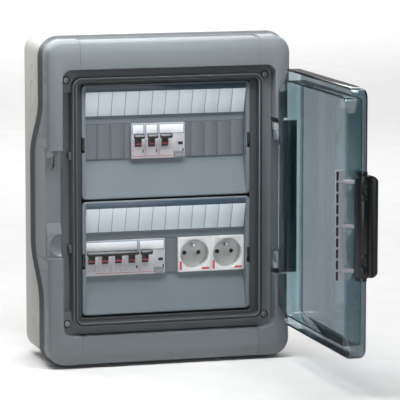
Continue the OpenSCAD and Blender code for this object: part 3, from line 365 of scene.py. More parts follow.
def entry_ring(radius, centre, reach):
    """A flat bevelled ring that marks a cable entry on a wall, half sunk in it."""
    centre = Vector(centre)
    reach = Vector(reach)
    ring = rod("entry_ring", radius + 0.6 * mm, centre - reach, centre + reach, sides=48)
    cut(ring, rod("bore", radius - 0.6 * mm, centre - 2 * reach, centre + 2 * reach, sides=48))
    return soften(ring, 0.2 * mm)


entry_y, proud = box_low.y / 2, 0.4 * mm
rings = []
for side in (-1, 1):
    for end in (-1, 1):
        for radius, height in ((16 * mm, 136 * mm), (9 * mm, 108.3 * mm), (9 * mm, 163.7 * mm)):
            rings.append(entry_ring(radius, (side * box_high.x, entry_y, end * height), (proud, 0, 0)))
    for step in (-1, 0, 1):
        rings.append(entry_ring(16 * mm, (step * 50 * mm, entry_y, side * box_high.z), (0, 0, proud)))
dress(gather("entry_rings", rings), "board", "box_plastic", box_plastic)


# Chassis inside the box: zinc-plated uprights and top-hat rails on screws, a brass earth bar on green feet,
# a flat rubber seal, and what sits in the devices. The solids have their real shapes, so they only get
# their finishes.
def metal(name, colour, rough, streak):
    """Metal with drawing lines along X, a streak in millimetres apart, that tone and sheen follow."""
    def paint(start):
        place = start.node("TexCoord", out="Object")
        drawn = start.node("Mapping", {}, {"Vector": place, "Scale": (0.06, 1.0, 1.0)})
        lines = start.node("TexNoise", {}, {"Vector": drawn, "Scale": 1 / (streak * mm), "Detail": 3.0})
        cloud = start.node("TexNoise", {}, {"Vector": place, "Scale": 40.0, "Detail": 2.0})
        tone = (lines * 0.5 + cloud * 0.5).blend(shade(colour, 0.85), shade(colour, 1.12))
        bump = start.node("Bump", {}, {"Strength": 0.05, "Distance": 0.1 * mm, "Height": lines})
        return {"Base Color": tone, "Metallic": 1.0, "Roughness": rough + (lines - 0.5) * 0.2, "Normal": bump}
    return finish(name, paint)


def keep(finish_of, *nodes):
    """Leaves solids as they are and gives them a finish."""
    for node in nodes:
        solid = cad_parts[node]
        solid.data.materials.clear()
        solid.data.materials.append(finish_of)


zinc_steel = metal("zinc_steel", (0.62, 0.64, 0.66), 0.34, 0.6)
screw_steel = metal("screw_steel", (0.66, 0.64, 0.58), 0.3, 0.4)
contact_brass = metal("contact_brass", (0.72, 0.53, 0.22), 0.28, 0.5)
winding_copper = metal("winding_copper", (0.6, 0.27, 0.12), 0.35, 0.3)
seal_rubber = moulded("seal_rubber", (0.016, 0.018, 0.02), 0.62, 0.8, 0.08)
green_plastic = moulded("green_plastic", (0.07, 0.22, 0.1), 0.5)
clip_plastic = moulded("clip_plastic", (0.1, 0.13, 0.24), 0.48)
keep(zinc_steel, "uprights", "upper_rail", "lower_rail", "hinge_pins", "handle_pin")
keep(screw_steel, "rail_screws", "terminal_screws")
keep(contact_brass, "earth_bar", "socket_contacts")
keep(winding_copper, "upper_residual_core", "lower_residual_core")
keep(seal_rubber, "box_seal")
keep(green_plastic, "earth_bar_holder")
keep(clip_plastic, "left_breaker_clip", "right_breaker_clip", "four_pole_clip", "upper_residual_clip",
     "lower_residual_clip", "upper_trip_relay", "lower_trip_relay")


# Breaker and residual current device cases: light grey semi-gloss plastic on the rails, a 45 mm high nose
# on a deeper body, with a round slot for each toggle. The residual cases are closed by a side cover.
upper, lower = 75 * mm, -75 * mm
rows = (("upper", upper), ("lower", lower))
face_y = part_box("left_breaker")[0].y
module_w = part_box("right_breaker")[0].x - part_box("left_breaker")[0].x
nose_z, nose_back, shoulder_y = 22.5 * mm, -94 * mm, -95.5 * mm
pivot_y, pivot_drop = -109 * mm, 1.5 * mm
drum_r, drum_w = 6.5 * mm, 8 * mm
device_plastic = moulded("device_plastic", (0.47, 0.475, 0.50), 0.34, 0.6, 0.02)


def nose_block(name, node, row):
    """The plain block of a device that stands for a solid: a nose in front of its body."""
    low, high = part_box(node)
    block = bar(name, (low.x, face_y, row - nose_z), (high.x, nose_back, row + nose_z))
    weld(block, bar("body", (low.x, shoulder_y, low.z), high))
    return block


def device_case(node, poles, row):
    """A case with a slot for the toggle drum of each pole, and joints between the poles."""
    case = nose_block(node + "_case", node, row)
    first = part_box(node)[0].x
    reach = drum_w / 2 + 0.3 * mm
    z = row - pivot_drop
    for pole in range(poles):
        x = first + (pole + 0.5) * module_w
        slot = rod("slot", drum_r + 0.5 * mm, (x - reach, pivot_y, z), (x + reach, pivot_y, z), sides=48)
        cut(case, slot)
    for step in range(1, poles):
        x = first + step * module_w
        cut(case, bar("joint", (x - 0.2 * mm, face_y - mm, row - 30 * mm),
                      (x + 0.2 * mm, face_y + 0.5 * mm, row + 30 * mm)))
    return case


breakers = (("left_breaker", 1, upper), ("right_breaker", 1, upper), ("four_pole_breaker", 4, lower))
for node, poles, row in breakers:
    case = device_case(node, poles, row)
    dress(soften(case, 0.3 * mm), "board", "device_plastic", device_plastic, node)
for name, row in rows:
    node = name + "_residual_case"
    case = device_case(node, 1, row)
    low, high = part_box(name + "_test_button")
    room = 0.35 * mm
    cut(case, bar("button_pocket", (low.x - room, face_y - mm, low.z - room),
                  (high.x + room, face_y + 6.2 * mm, high.z + room)))
    dress(soften(case, 0.3 * mm), "board", "device_plastic", device_plastic, node)
    node = name + "_residual_side"
    cover = nose_block(node + "_cover", node, row)
    dress(soften(cover, 0.25 * mm), "board", "device_plastic", device_plastic, node)


# Device fronts: white cards on blue-edged label covers, and the coloured lines, windows and rivets of the
# fronts. All are thin plates let into the case fronts.
def plate(x0, x1, drop0, drop1, row, proud=0.12 * mm, edge=0.05 * mm):
    """A thin plate on a device's front, between two drops in millimetres below the top of its nose."""
    top = row + nose_z
    low = (x0, face_y - proud, top - drop1 * mm)
    return bar("plate", low, (x1, face_y + 0.3 * mm, top - drop0 * mm), edge)


cover_blue = moulded("label_cover_blue", (0.10, 0.22, 0.42), 0.16, 2, 0.02)
card_white = moulded("label_card", (0.80, 0.83, 0.86), 0.3, 0.4, 0.02)
mark_red = moulded("mark_red", (0.55, 0.06, 0.07), 0.4, 0.4, 0.02)
mark_black = moulded("mark_black", (0.012, 0.013, 0.015), 0.3, 0.4, 0.02)
rivet_grey = moulded("rivet_grey", (0.30, 0.31, 0.32), 0.35, 0.4, 0.02)
fronts = (("left_breaker", 1, upper), ("right_breaker", 1, upper), ("upper_residual_case", 2, upper),
          ("four_pole_breaker", 4, lower), ("lower_residual_case", 2, lower))
covers, cards, reds, blacks, rivets = [], [], [], [], []
for name, modules, row in fronts:
    x0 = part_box(name)[0].x
    x1 = x0 + modules * module_w - 0.2 * mm
    covers.append(plate(x0 + 0.9 * mm, x1 - 0.9 * mm, 1.1, 13.6, row, 0.4 * mm, 0.2 * mm))
    cards.append(plate(x0 + 1.7 * mm, x1 - 1.7 * mm, 1.8, 13.0, row, 0.5 * mm))
    inset = 0.2 * (x1 - x0) if modules == 4 else 1.6 * mm
    reds.append(plate(x0 + inset, x0 + inset + 0.5 * mm, 32, 42.6, row))
    reds.append(plate(x0 + inset, x1 - 1.2 * mm, 42.0, 42.6, row))
    blacks.append(plate(x1 - 3.0 * mm, x1 - 1.5 * mm, 33.5, 37.5, row))
    for pole in range(modules if modules != 2 else 1):
        x = x0 + pole * module_w
        rivets.append(plate(x + 1.0 * mm, x + 2.6 * mm, 21.3, 23.6, row, 0.3 * mm, 0.25 * mm))
    if modules == 2:
        blacks.append(plate(x0 + 26.5 * mm, x0 + 32.7 * mm, 24.8, 28.6, row))
    if modules == 4:
        for tick in range(9):
            x = x0 + (4 + tick * 7.2) * mm
            blacks.append(plate(x, x + 0.4 * mm, 37.5, 40.0, row))
dress(gather("label_covers", covers), "board", "clear_plastic", cover_blue, "device_label_covers")
dress(gather("label_cards", cards), "board", "label_plastic", card_white)
dress(gather("red_lines", reds), "board", "device_plastic", mark_red)
dress(gather("black_marks", blacks), "board", "black_plastic", mark_black)
dress(gather("front_rivets", rivets), "board", "grey_plastic", rivet_grey)


# Toggles and test buttons: black plastic rockers on a drum with a red band, tilted up in the on position,
# and grey push buttons with a slightly hollow face. Each moves by itself.
toggle_black = moulded("toggle_black", (0.018, 0.019, 0.021), 0.32, 0.5, 0.03)
button_grey = moulded("button_grey", (0.23, 0.25, 0.26), 0.4, 0.5, 0.03)
on_tilt, band_tilt = math.radians(-35), math.radians(19)
lever_l = 14 * mm


def turned(piece, angle, place, axis="X"):
    """Turns a piece about a line through a place, and applies the turn to its mesh."""
    work_on(piece)
    back = Matrix.Translation(-Vector(place))
    piece.matrix_world = Matrix.Translation(place) @ Matrix.Rotation(angle, 4, axis) @ back
    settle()
    return piece


def rocker(node, case, poles, row, head_w):
    """A toggle: a drum and a lever for each pole, and one rounded head across all of them."""
    z = row - pivot_drop
    head_y, half = pivot_y - lever_l, 2.5 * mm
    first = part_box(case)[0].x + module_w / 2
    last = first + (poles - 1) * module_w
    head = bar(node + "_rocker", (first - head_w / 2, head_y - half, z - half),
               (last + head_w / 2, head_y + half, z + half), 1.2 * mm, 4)
    bands = []
    for pole in range(poles):
        x0 = first + pole * module_w - drum_w / 2
        x1 = x0 + drum_w
        lever = bar("lever", (x0, head_y, z - 2 * mm), (x1, pivot_y, z + 2 * mm))
        pick(lever, "FACE", lambda middle, part: part.normal.y < -0.9)
        bpy.ops.transform.resize(value=(0.84, 1, 0.8))
        close()
        weld(head, lever)
        weld(head, rod("drum", drum_r, (x0, pivot_y, z), (x1, pivot_y, z), sides=48))
        band = bar("band", (x0 + 0.02 * mm, pivot_y - drum_r - 0.12 * mm, z - 0.95 * mm),
                   (x1 - 0.02 * mm, pivot_y - drum_r + 0.8 * mm, z + 0.95 * mm), 0.1 * mm)
        bands.append(turned(band, band_tilt, (0, pivot_y, z)))
    turned(head, on_tilt, (0, pivot_y, z))
    dress(soften(head, 0.3 * mm, 2, 38), node, "black_plastic", toggle_black, node)
    dress(gather(node + "_band", bands), node, "black_plastic", mark_red)


rocker("left_breaker_toggle", "left_breaker", 1, upper, 14.2 * mm)
rocker("right_breaker_toggle", "right_breaker", 1, upper, 14.2 * mm)
rocker("upper_residual_toggle", "upper_residual_case", 1, upper, 16.4 * mm)
rocker("four_pole_toggle", "four_pole_breaker", 4, lower, 15.4 * mm)
rocker("lower_residual_toggle", "lower_residual_case", 1, lower, 16.4 * mm)
for node in ("upper_test_button", "lower_test_button"):
    low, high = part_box(node)
    x, z = (low.x + high.x) / 2, (low.z + high.z) / 2
    button = bar(node + "_cap", low, (high.x, face_y + 3.6 * mm, high.z), 0.5 * mm)
    pick(button, "FACE", lambda middle, part: part.normal.y < -0.99 and part.calc_area() > 20 * mm * mm)
    bpy.ops.mesh.inset(thickness=0.7 * mm)
    bpy.ops.transform.translate(value=(0, 0.3 * mm, 0))
    close()
    join(button, rod("stem", 1.5 * mm, (x, face_y + 3.5 * mm, z), (x, high.y, z), 0.2 * mm))
    dress(soften(button), node, "grey_plastic", button_grey, node)


# Earthed socket outlets: white plates with a round grey well, two contact holes with dark shutters over brass
# sleeves and a plated earth pin that stands out of the well's floor. Two red bars mark each plate.
white_plastic = moulded("white_plastic", (0.68, 0.695, 0.70), 0.3, 0.8, 0.015)
well_grey = moulded("well_grey", (0.55, 0.56, 0.56), 0.36, 0.8, 0.02)
well_r, well_y, hole_out = 19.3 * mm, -98 * mm, 9.5 * mm


def recolour(piece, finish_of, test):
    """Gives those faces of a piece that pass a test a second finish."""
    piece.data.materials.append(finish_of)
    pick(piece, "FACE", test)
    piece.active_material_index = 1
    bpy.ops.object.material_slot_assign()
    close()


bars, shutters, middles = [], [], []
for node in ("left_socket", "right_socket"):
    low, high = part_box(node)
    middle = (low.x + high.x) / 2
    outlet = nose_block(node + "_outlet", node, lower)
    cut(outlet, rod("well", well_r, (middle, face_y - mm, lower), (middle, well_y, lower), sides=64))
    for x in (middle - hole_out, middle + hole_out):
        cut(outlet, rod("contact_hole", 2.9 * mm, (x, well_y - mm, lower), (x, -78 * mm, lower), sides=24))
        shutters.append(rod("shutter", 2.85 * mm, (x, well_y + 0.9 * mm, lower),
                            (x, well_y + 1.9 * mm, lower), 0.2 * mm, 24))
    dress(soften(outlet, 0.45 * mm), "board", "white_plastic", white_plastic, node)
    recolour(outlet, well_grey, lambda spot, part: spot.y > face_y + 0.5 * mm
             and Vector((spot.x - middle, spot.z - lower)).length < well_r + 0.2 * mm)
    bars.append(plate(low.x + 2.0 * mm, low.x + 4.8 * mm, 31, 42.6, lower))
    bars.append(plate(high.x - 12.6 * mm, high.x - 2.6 * mm, 39.8, 42.5, lower))
    middles.append(middle)
dress(gather("socket_bars", bars), "board", "white_plastic", mark_red)
dress(gather("socket_shutters", shutters), "board", "black_plastic", toggle_black)
pin_low, pin_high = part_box("earth_pins")
pin_z = lower + 10 * mm
pins = [rod("pin", 2.4 * mm, (x, pin_low.y, pin_z), (x, pin_high.y, pin_z), 1.6 * mm) for x in middles]
dress(gather("socket_earth_pins", pins), "board", "zinc_steel", zinc_steel, "earth_pins")


# Front cover: one moulding in blue-grey plastic with a wide rounded band, a recess for the door, an upstand
# for its seal and a flared skirt over the box. Four screws through the recess hold it to the box.
cover_low, cover_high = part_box("front_cover")
flare, edge_round, inside = 4 * mm, 5 * mm, 1.3 * mm
case_x, case_z, case_corner = cover_high.x - flare, cover_high.z - flare, 22 * mm
recess_x, recess_z, recess_y = 140.9 * mm, 170.9 * mm, -120 * mm
rib_x, rib_z, rib_y, rib_t = 125.9 * mm, 159.9 * mm, -133 * mm, 5 * mm
open_x, open_z, seat_y = 112.4 * mm, 150.4 * mm, -108 * mm
groove_x, groove_z, groove_w, groove_y = 124.95 * mm, 158.95 * mm, 3.1 * mm, rib_y + 1.2 * mm
front_y, lip_y, lip_mid_y = cover_low.y, -101 * mm, cover_high.y
crown, crown_run = 2.4 * mm, 14 * mm
round_up, round_in = edge_round * 0.951, edge_round * 0.691
case = (case_x, case_z, case_corner)
recess = (recess_x, recess_z, 12 * mm)
rib = (rib_x, rib_z, 12 * mm)
groove = (groove_x, groove_z, 11.1 * mm)
opening = (open_x, open_z, 2 * mm)


def lip_line(x, z):
    """How far the skirt reaches back at a height: it swells over the middle of the sides in an S-curve."""
    run = min(1.0, max(0.0, (abs(z) - 55 * mm) / (74 * mm)))
    return (lip_mid_y - lip_y) * (1 + math.cos(math.pi * run)) / 2


skin = Hoop("front_cover_shell", opening, seat_y, cuts=63, lid=False)
skin.to(case, seat_y, -inside)
skin.to(case, lip_y, -inside, lip_line)
skin.to(case, lip_y, flare - 0.4 * mm, lip_line)
skin.arc(0.4 * mm, lip_y - 0.5 * mm, True, 2, lip_line)
for out, back in ((3.7, 3.0), (2.6, 5.2), (1.5, 7.6), (0.6, 10.2), (0.1, 12.6), (0.0, 14.0)):
    skin.to(case, lip_y - back * mm, out * mm, lip_line)
line_y, line_in = front_y + crown + round_up + 1.6 * mm, 0.6 * mm
skin.to(case, line_y)
skin.to(case, line_y - 0.2 * mm, -line_in)
skin.to(case, line_y - mm, -line_in)
skin.to(case, line_y - 1.2 * mm)
for step in range(7):
    turn = math.radians(72) * step / 6
    y = front_y + crown + round_up - edge_round * math.sin(turn)
    skin.to(case, y, edge_round * (math.cos(turn) - 1))
for step in range(1, 6):
    out = round_in + crown_run * step / 5
    crown_size = (case_x - out, case_z - out, max(case_corner - out, 6 * mm))
    skin.to(crown_size, front_y + crown * (1 - step / 5) ** 2)
skin.to(recess, front_y, 1.5 * mm)
skin.arc(-1.5 * mm, front_y + 1.5 * mm, True, 4)
skin.to(recess, recess_y - mm)
skin.arc(-mm, recess_y, False, 2)
skin.to(rib, recess_y, 0.6 * mm)
skin.arc(-0.6 * mm, recess_y - 0.6 * mm, True, 2)
skin.to(rib, rib_y + 0.6 * mm)
skin.arc(-0.6 * mm, rib_y, False, 3)
skin.to(groove, rib_y)
skin.to(groove, groove_y)
skin.to(groove, groove_y, -groove_w)
skin.to(groove, rib_y, -groove_w)
skin.to(rib, rib_y, 0.5 * mm - rib_t)
skin.arc(-0.5 * mm, rib_y + 0.5 * mm, True, 2)
skin.to(rib, recess_y, -rib_t)
skin.to(opening, recess_y, 0.6 * mm)
skin.arc(-0.6 * mm, recess_y + 0.6 * mm, True, 2)
front_cover = skin.done(bridge=True)


def prism(name, outline, first, last, along="X"):
    """A bar along X or Z with an outline of points, (Y, Z) or (X, Y), drawn out of a flat face."""
    piece = fresh(name, bpy.ops.mesh.primitive_circle_add, vertices=len(outline), fill_type="NGON")
    for corner, spot in zip(piece.data.vertices, outline):
        corner.co = (first, *spot) if along == "X" else (*spot, first)
    way = (last - first, 0, 0) if along == "X" else (0, 0, last - first)
    bpy.ops.object.mode_set(mode="EDIT")
    bpy.ops.mesh.select_all(action="SELECT")
    bpy.ops.mesh.extrude_region_move(TRANSFORM_OT_translate={"value": way})
    bpy.ops.mesh.select_all(action="SELECT")
    bpy.ops.mesh.normals_make_consistent(inside=False)
    close()
    return piece


seam_x, set_back, seam, band_back = 118 * mm, 1.1 * mm, 0.45 * mm, -112 * mm
ahead_y, floor_y = front_y - 9 * mm, recess_y - mm
band_z, above_z, below_z = case_z - set_back - seam, case_z + 3 * mm, recess_z - 3 * mm
band_line = [(floor_y, recess_z + seam), (front_y + 1.4 * mm, recess_z + seam),
             (front_y + seam, recess_z + 1.5 * mm)]
for step in range(5, -1, -1):
    band_line.append((front_y + crown * (1 - step / 5) ** 2 + seam,
                      case_z - round_in - crown_run * step / 5 - seam / 2))
band_line += [(front_y + crown + round_up, band_z), (band_back, band_z), (band_back, above_z),
              (ahead_y, above_z), (ahead_y, below_z), (floor_y, below_z)]
for end in (-1, 1):
    low_z, high_z = sorted((end * (case_z - set_back), end * (case_z + 6 * mm)))
    cut(front_cover, bar("set_back", (-seam_x, ahead_y, low_z), (seam_x, band_back, high_z)))
    for x in (-seam_x, seam_x):
        seam_line = [(y, end * z) for y, z in band_line]
        cut(front_cover, prism("seam", seam_line, x - 0.3 * mm, x + 0.3 * mm))
draft_y, draft_z = recess_y - 0.4 * mm, -recess_z + 2 * mm
draft = [(draft_y, -recess_z + 0.2 * mm), (front_y - mm, -recess_z - 2.2 * mm), (front_y - mm, draft_z),
         (draft_y, draft_z)]
cut(front_cover, prism("lower_draft", draft, -seam_x, seam_x))

pocket_z, pocket_y = 69.4 * mm, -124 * mm
hinge_z, hinge_y = 102 * mm, -116 * mm
channel_z, channel_y = 141 * mm, -108.5 * mm
wide, clear_y = case_x + 12 * mm, -160 * mm
cut(front_cover,
    bar("handle_pocket", (-wide, clear_y, -pocket_z), (-recess_x + 0.4 * mm, pocket_y, pocket_z)),
    bar("hinge_pocket", (recess_x - 0.4 * mm, clear_y, -hinge_z), (wide, hinge_y, hinge_z)),
    bar("latch_channel", (-recess_x, -125 * mm, -channel_z), (-rib_x, channel_y, channel_z)))
pad_x, pad_y, root_y, wedge_y = -case_x + 0.7 * mm, -129.5 * mm, pocket_y + mm, -130.5 * mm
pad = prism("finger_pad", [(root_y, -pocket_z - mm), (root_y, -24 * mm), (pocket_y, -25 * mm),
                           (pad_y + 0.6 * mm, -37 * mm), (pad_y, -39 * mm), (pad_y, -pocket_z - mm)],
            pad_x, -recess_x)
scoop = fresh("scoop", bpy.ops.mesh.primitive_uv_sphere_add, segments=48, ring_count=24, radius=1,
              location=(-recess_x, -135 * mm, -53 * mm))
scoop.scale = (18.2 * mm, 10.4 * mm, 17.2 * mm)
settle()
cut(pad, scoop)
wedge = prism("pocket_wedge", [(root_y, pocket_z + mm), (root_y, 42 * mm), (pocket_y, 43 * mm),
                               (wedge_y, 62 * mm), (wedge_y, pocket_z + mm)], pad_x, -151.5 * mm)
corner_x, corner_z = pad_x - 2 * mm, pocket_z + 5 * mm
corner = rod("pocket_corner", 14 * mm, (corner_x, -130 * mm, corner_z),
             (corner_x, front_y + 3 * mm, corner_z), sides=48)
cut(corner, bar("outer", (-wide - 40 * mm, clear_y, 0), (pad_x, -100 * mm, 120 * mm)),
    bar("above", (-wide, clear_y, pocket_z + mm), (0, -100 * mm, 120 * mm)))
weld(front_cover, pad, wedge, corner)
cut(front_cover, bar("slit", (-150.4 * mm, -140 * mm, 48 * mm),
                     (-148.6 * mm, pocket_y + 2.5 * mm, pocket_z - 1.5 * mm)))
cover_plastic = moulded("cover_plastic", (0.152, 0.173, 0.184), 0.44)
# A darker finish for the flare of the skirt: painted shade, for the shadow in which the cover's body keeps
# the light off the flare.
painted_skirt_shade = moulded("painted_skirt_shade", (0.055, 0.065, 0.072), 0.5)
dress(soften(front_cover, 0.5 * mm), "board", "cover_plastic", cover_plastic, "front_cover")


def past_case(spot, part):
    """Whether a face lies outside the case's upright walls, on the flare of the skirt."""
    out_x = max(abs(spot.x) - case_x + case_corner, 0)
    out_z = max(abs(spot.z) - case_z + case_corner, 0)
    return math.hypot(out_x, out_z) > case_corner + 0.3 * mm


# Painted shade: the faces on the skirt's flare take the darker finish.
recolour(front_cover, painted_skirt_shade, past_case)


# Cover fittings: the black door seal in the upstand with its foot, four dark steel screws with sealing
# washers in the recess, two light bearing blocks for the hinge pins and two keepers beside the latch channel.
seal_low, seal_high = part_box("door_seal")
seal = (groove_x - 0.05 * mm, groove_z - 0.05 * mm, 11 * mm)
skin = Hoop("door_seal_bead", seal, seal_high.y, lid=False)
skin.to(seal, seal_low.y + 0.8 * mm)
skin.arc(-1.2 * mm, seal_low.y, False, 4)
skin.to(seal, seal_low.y, -1.8 * mm)
skin.arc(-1.2 * mm, seal_low.y + 0.8 * mm, True, 4)
skin.to(seal, seal_high.y, -3 * mm)
door_seal = skin.done(bridge=True)
dress(soften(door_seal), "board", "seal_rubber", seal_rubber, "door_seal")

foot_grey = moulded("foot_grey", (0.04, 0.045, 0.05), 0.6, 0.8, 0.06)
foot = (open_x + 0.5 * mm, open_z + 0.4 * mm, 2.4 * mm)
rib_inside = (rib_x - rib_t, rib_z - rib_t, 7 * mm)
sunk_y, foot_y = recess_y + 0.2 * mm, recess_y - 1.6 * mm
skin = Hoop("door_seal_foot", foot, sunk_y, lid=False)
skin.to(foot, foot_y + 0.4 * mm)
skin.arc(0.4 * mm, foot_y, False, 2)
skin.to(rib_inside, foot_y, -0.9 * mm)
skin.to(rib_inside, groove_y, -0.7 * mm)
skin.to(rib_inside, groove_y, 0.1 * mm)
skin.to(rib_inside, sunk_y, 0.1 * mm)
seal_foot = skin.done(bridge=True)
dress(soften(seal_foot), "board", "seal_rubber", foot_grey)


def copy_of(piece, shift):
    """Another of the same piece, moved, with a mesh of its own."""
    work_on(piece)
    bpy.ops.object.duplicate()
    other = bpy.context.object
    other.location = shift
    bpy.ops.object.transform_apply(location=True, rotation=False, scale=False)
    return other


seat = (post_x, recess_y, post_z)
washer = rod("washer", 5.2 * mm, (post_x, recess_y - 0.7 * mm, post_z), seat, 0.3 * mm)
screw = rod("screw", 4 * mm, (post_x, recess_y - 2 * mm, post_z), seat, 0.7 * mm)
for reach_x, reach_z in ((2.6 * mm, 0.5 * mm), (0.5 * mm, 2.6 * mm)):
    cut(screw, bar("cross", (post_x - reach_x, recess_y - 3 * mm, post_z - reach_z),
                   (post_x + reach_x, recess_y - 0.8 * mm, post_z + reach_z)))
shank_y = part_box("cover_screws")[1].y
shank = rod("shank", 2 * mm, (post_x, recess_y - 0.2 * mm, post_z), (post_x, shank_y, post_z), 0.4 * mm)
join(screw, shank)
dark_steel = metal("dark_steel", (0.24, 0.25, 0.25), 0.36, 0.4)
heads, washers = [screw], [washer]
for x, z in ((-2 * post_x, 0), (0, -2 * post_z), (-2 * post_x, -2 * post_z)):
    heads.append(copy_of(screw, (x, 0, z)))
    washers.append(copy_of(washer, (x, 0, z)))
dress(gather("cover_screw_heads", heads), "board", "screw_steel", dark_steel, "cover_screws")
dress(gather("screw_washers", washers), "board", "seal_rubber", seal_rubber)

light_plastic = moulded("light_plastic", (0.42, 0.45, 0.46), 0.42)
keeper_grey = moulded("keeper_grey", (0.15, 0.17, 0.185), 0.42)
axis_x, axis_y, block_h = 147.9 * mm, -128 * mm, 10 * mm
low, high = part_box("hinge_bearings")
foot_z = high.z - block_h
bearing = bar("hinge_bearing_blocks", (low.x, axis_y, foot_z), high)
weld(bearing, rod("bearing_eye", 5.5 * mm, (axis_x, axis_y, foot_z), (axis_x, axis_y, high.z), sides=40))
cut(bearing, rod("bore", 2.1 * mm, (axis_x, axis_y, foot_z - mm), (axis_x, axis_y, high.z + mm), sides=24))
soften(bearing, 0.5 * mm)
join(bearing, copy_of(bearing, (0, 0, low.z - foot_z)))
dress(bearing, "board", "light_plastic", light_plastic, "hinge_bearings")
low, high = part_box("latch_keepers")
keepers = []
for z in (high.z - block_h, low.z):
    keepers.append(bar("keeper", (low.x, low.y, z), (high.x, high.y, z + block_h), 0.5 * mm))
dress(gather("latch_keeper_hooks", keepers), "board", "light_plastic", keeper_grey, "latch_keepers")


# Faceplates: two sunk plates of blue-grey plastic that close the cover round the device rows. A sloping field
# takes the labels, a nearly flat apron runs forward below the devices, and a rounded rim lies on the cover.
faceplate_plastic = moulded("faceplate_plastic", (0.156, 0.190, 0.212), 0.4)
plate_x, plate_y, sheet = 112 * mm, -121 * mm, 2.5 * mm
plate_top, plate_foot, field_top, apron_end = 74.8 * mm, -72.4 * mm, 66.4 * mm, -70.6 * mm
window_y, apron_top, apron_run, field_y, field_foot = -108 * mm, -27.9 * mm, 13 * mm, -110 * mm, 32.9 * mm
trough_x, cheek = 106.9 * mm, 1.1 * mm
sunk = [(plate_y, field_top), (field_y, field_foot), (window_y, 30.9 * mm)]
for step in range(13):
    run = step / 12
    sunk.append((window_y - apron_run * run ** 1.12, apron_top + (apron_end - apron_top) * run))
for name, row in rows:
    rim = (plate_x, (plate_top - plate_foot) / 2, 6 * mm)
    centre = (0, row + (plate_top + plate_foot) / 2)
    skin = Hoop(name + "_faceplate_sheet", rim, plate_y + sheet, centre=centre)
    skin.to(rim, plate_y + 1.1 * mm)
    skin.arc(-1.1 * mm, plate_y, False, 4)
    face = skin.done()
    cut(face, bar("trough", (-trough_x, plate_y - mm, row + apron_end),
                  (trough_x, plate_y + 2 * sheet, row + field_top)))
    shape = [(y, z + row) for y, z in sunk] + [(y + sheet, z + row) for y, z in reversed(sunk)]
    weld(face, prism("sunk_sheet", shape, -trough_x - cheek, trough_x + cheek))
    for side, hand in ((-1, "_left_latch"), (1, "_right_latch")):
        wall = [(y + 0.05 * mm, z + row) for y, z in sunk]
        weld(face, prism("cheek", wall, side * trough_x, side * (trough_x + cheek)))
        low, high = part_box(name + hand)
        cut(face, bar("latch_slot", (low.x - 0.3 * mm, plate_y - mm, row - 11.8 * mm),
                      (high.x + 0.3 * mm, plate_y + 2 * sheet, row + 7.8 * mm)))
    cut(face, bar("window", (-trough_x, face_y, row - nose_z - 0.4 * mm),
                  (trough_x, -100 * mm, row + nose_z + 0.4 * mm)))
    dress(soften(face, 0.35 * mm), "board", "faceplate_plastic", faceplate_plastic, name + "_faceplate")


# Label strips: a dark blue carrier that clips on the sloping field of each faceplate and laps over its upper
# rim, with twelve pale blue-white cards on it and a finger tab in the middle of its upper edge.
strip_blue = moulded("strip_blue", (0.055, 0.085, 0.12), 0.3, 1.0, 0.02)
strip_card = moulded("strip_card", (0.69, 0.78, 0.84), 0.22, 1.5, 0.02)
slant = Vector((plate_y - field_y, field_top - field_foot))
length = slant.length
slant.normalize()


def slope(row, run, proud):
    """A point of (depth, height) at a run up the sloping field of a row, and proud of it."""
    return (field_y + slant.x * run - slant.y * proud, row + field_foot + slant.y * run + slant.x * proud)


for name, row in rows:
    low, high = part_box(name + "_label_strip")
    lap = [(plate_y, row + 72.6 * mm), (plate_y - 0.5 * mm, row + 72.6 * mm)]
    carrier = prism(name + "_strip_carrier", [slope(row, 0.3 * mm, 0), slope(row, length, 0), *lap,
                                              slope(row, length, 0.8 * mm), slope(row, 0.3 * mm, 0.8 * mm)],
                    low.x, high.x)
    tab_root, tab_face = plate_y + 0.1 * mm, plate_y - 1.6 * mm
    weld(carrier, prism("tab", [(tab_root, row + 67.4 * mm), (tab_root, row + 71 * mm),
                                (tab_face, row + 70.6 * mm), (tab_face, row + 67.8 * mm)], -11 * mm, 9 * mm))
    dress(soften(carrier, 0.2 * mm), "board", "label_plastic", strip_blue, name + "_label_strip")
    card_line = [slope(row, mm, 0.7 * mm), slope(row, length - 0.9 * mm, 0.7 * mm),
                 slope(row, length - 0.9 * mm, 1.15 * mm), slope(row, mm, 1.15 * mm)]
    cards = []
    for cell in range(12):
        x = low.x + cell * module_w
        card = prism("card", card_line, x + 0.28 * mm, x + module_w - 0.28 * mm)
        cards.append(soften(card, 0.12 * mm))
    dress(gather(name + "_strip_cards", cards), "board", "label_plastic", strip_card)


# Faceplate latches and blanks: black sliding latches with a finger notch in the side rims, and dark grey
# blanking plates with a pair of break-off grooves at each module.
latch_black = moulded("latch_black", (0.014, 0.015, 0.017), 0.38, 0.5, 0.03)
blank_grey = moulded("blank_grey", (0.13, 0.148, 0.165), 0.42)
step_y = plate_y + sheet + 0.3 * mm
for node, row in (("upper_left_latch", upper), ("upper_right_latch", upper), ("lower_left_latch", lower),
                  ("lower_right_latch", lower)):
    low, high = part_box(node)
    slide = bar(node + "_slide", (low.x, low.y, row - 7.5 * mm), (high.x, step_y, row + 7.5 * mm))
    cut(slide, bar("notch", (low.x - mm, low.y - mm, row - 2.2 * mm),
                   (high.x + mm, low.y + 0.7 * mm, row + 2.2 * mm)))
    soften(slide, 0.3 * mm)
    join(slide, bar("foot", (low.x, step_y, row - 9.5 * mm), (high.x, high.y, row + 9.5 * mm), 0.2 * mm),
         bar("tongue", (low.x, high.y - 1.25 * mm, row + 9 * mm), high, 0.2 * mm))
    dress(soften(slide), node, "black_plastic", latch_black, node)
row_start, blank_t, margin = -106.5 * mm, 2 * mm, 2 * mm
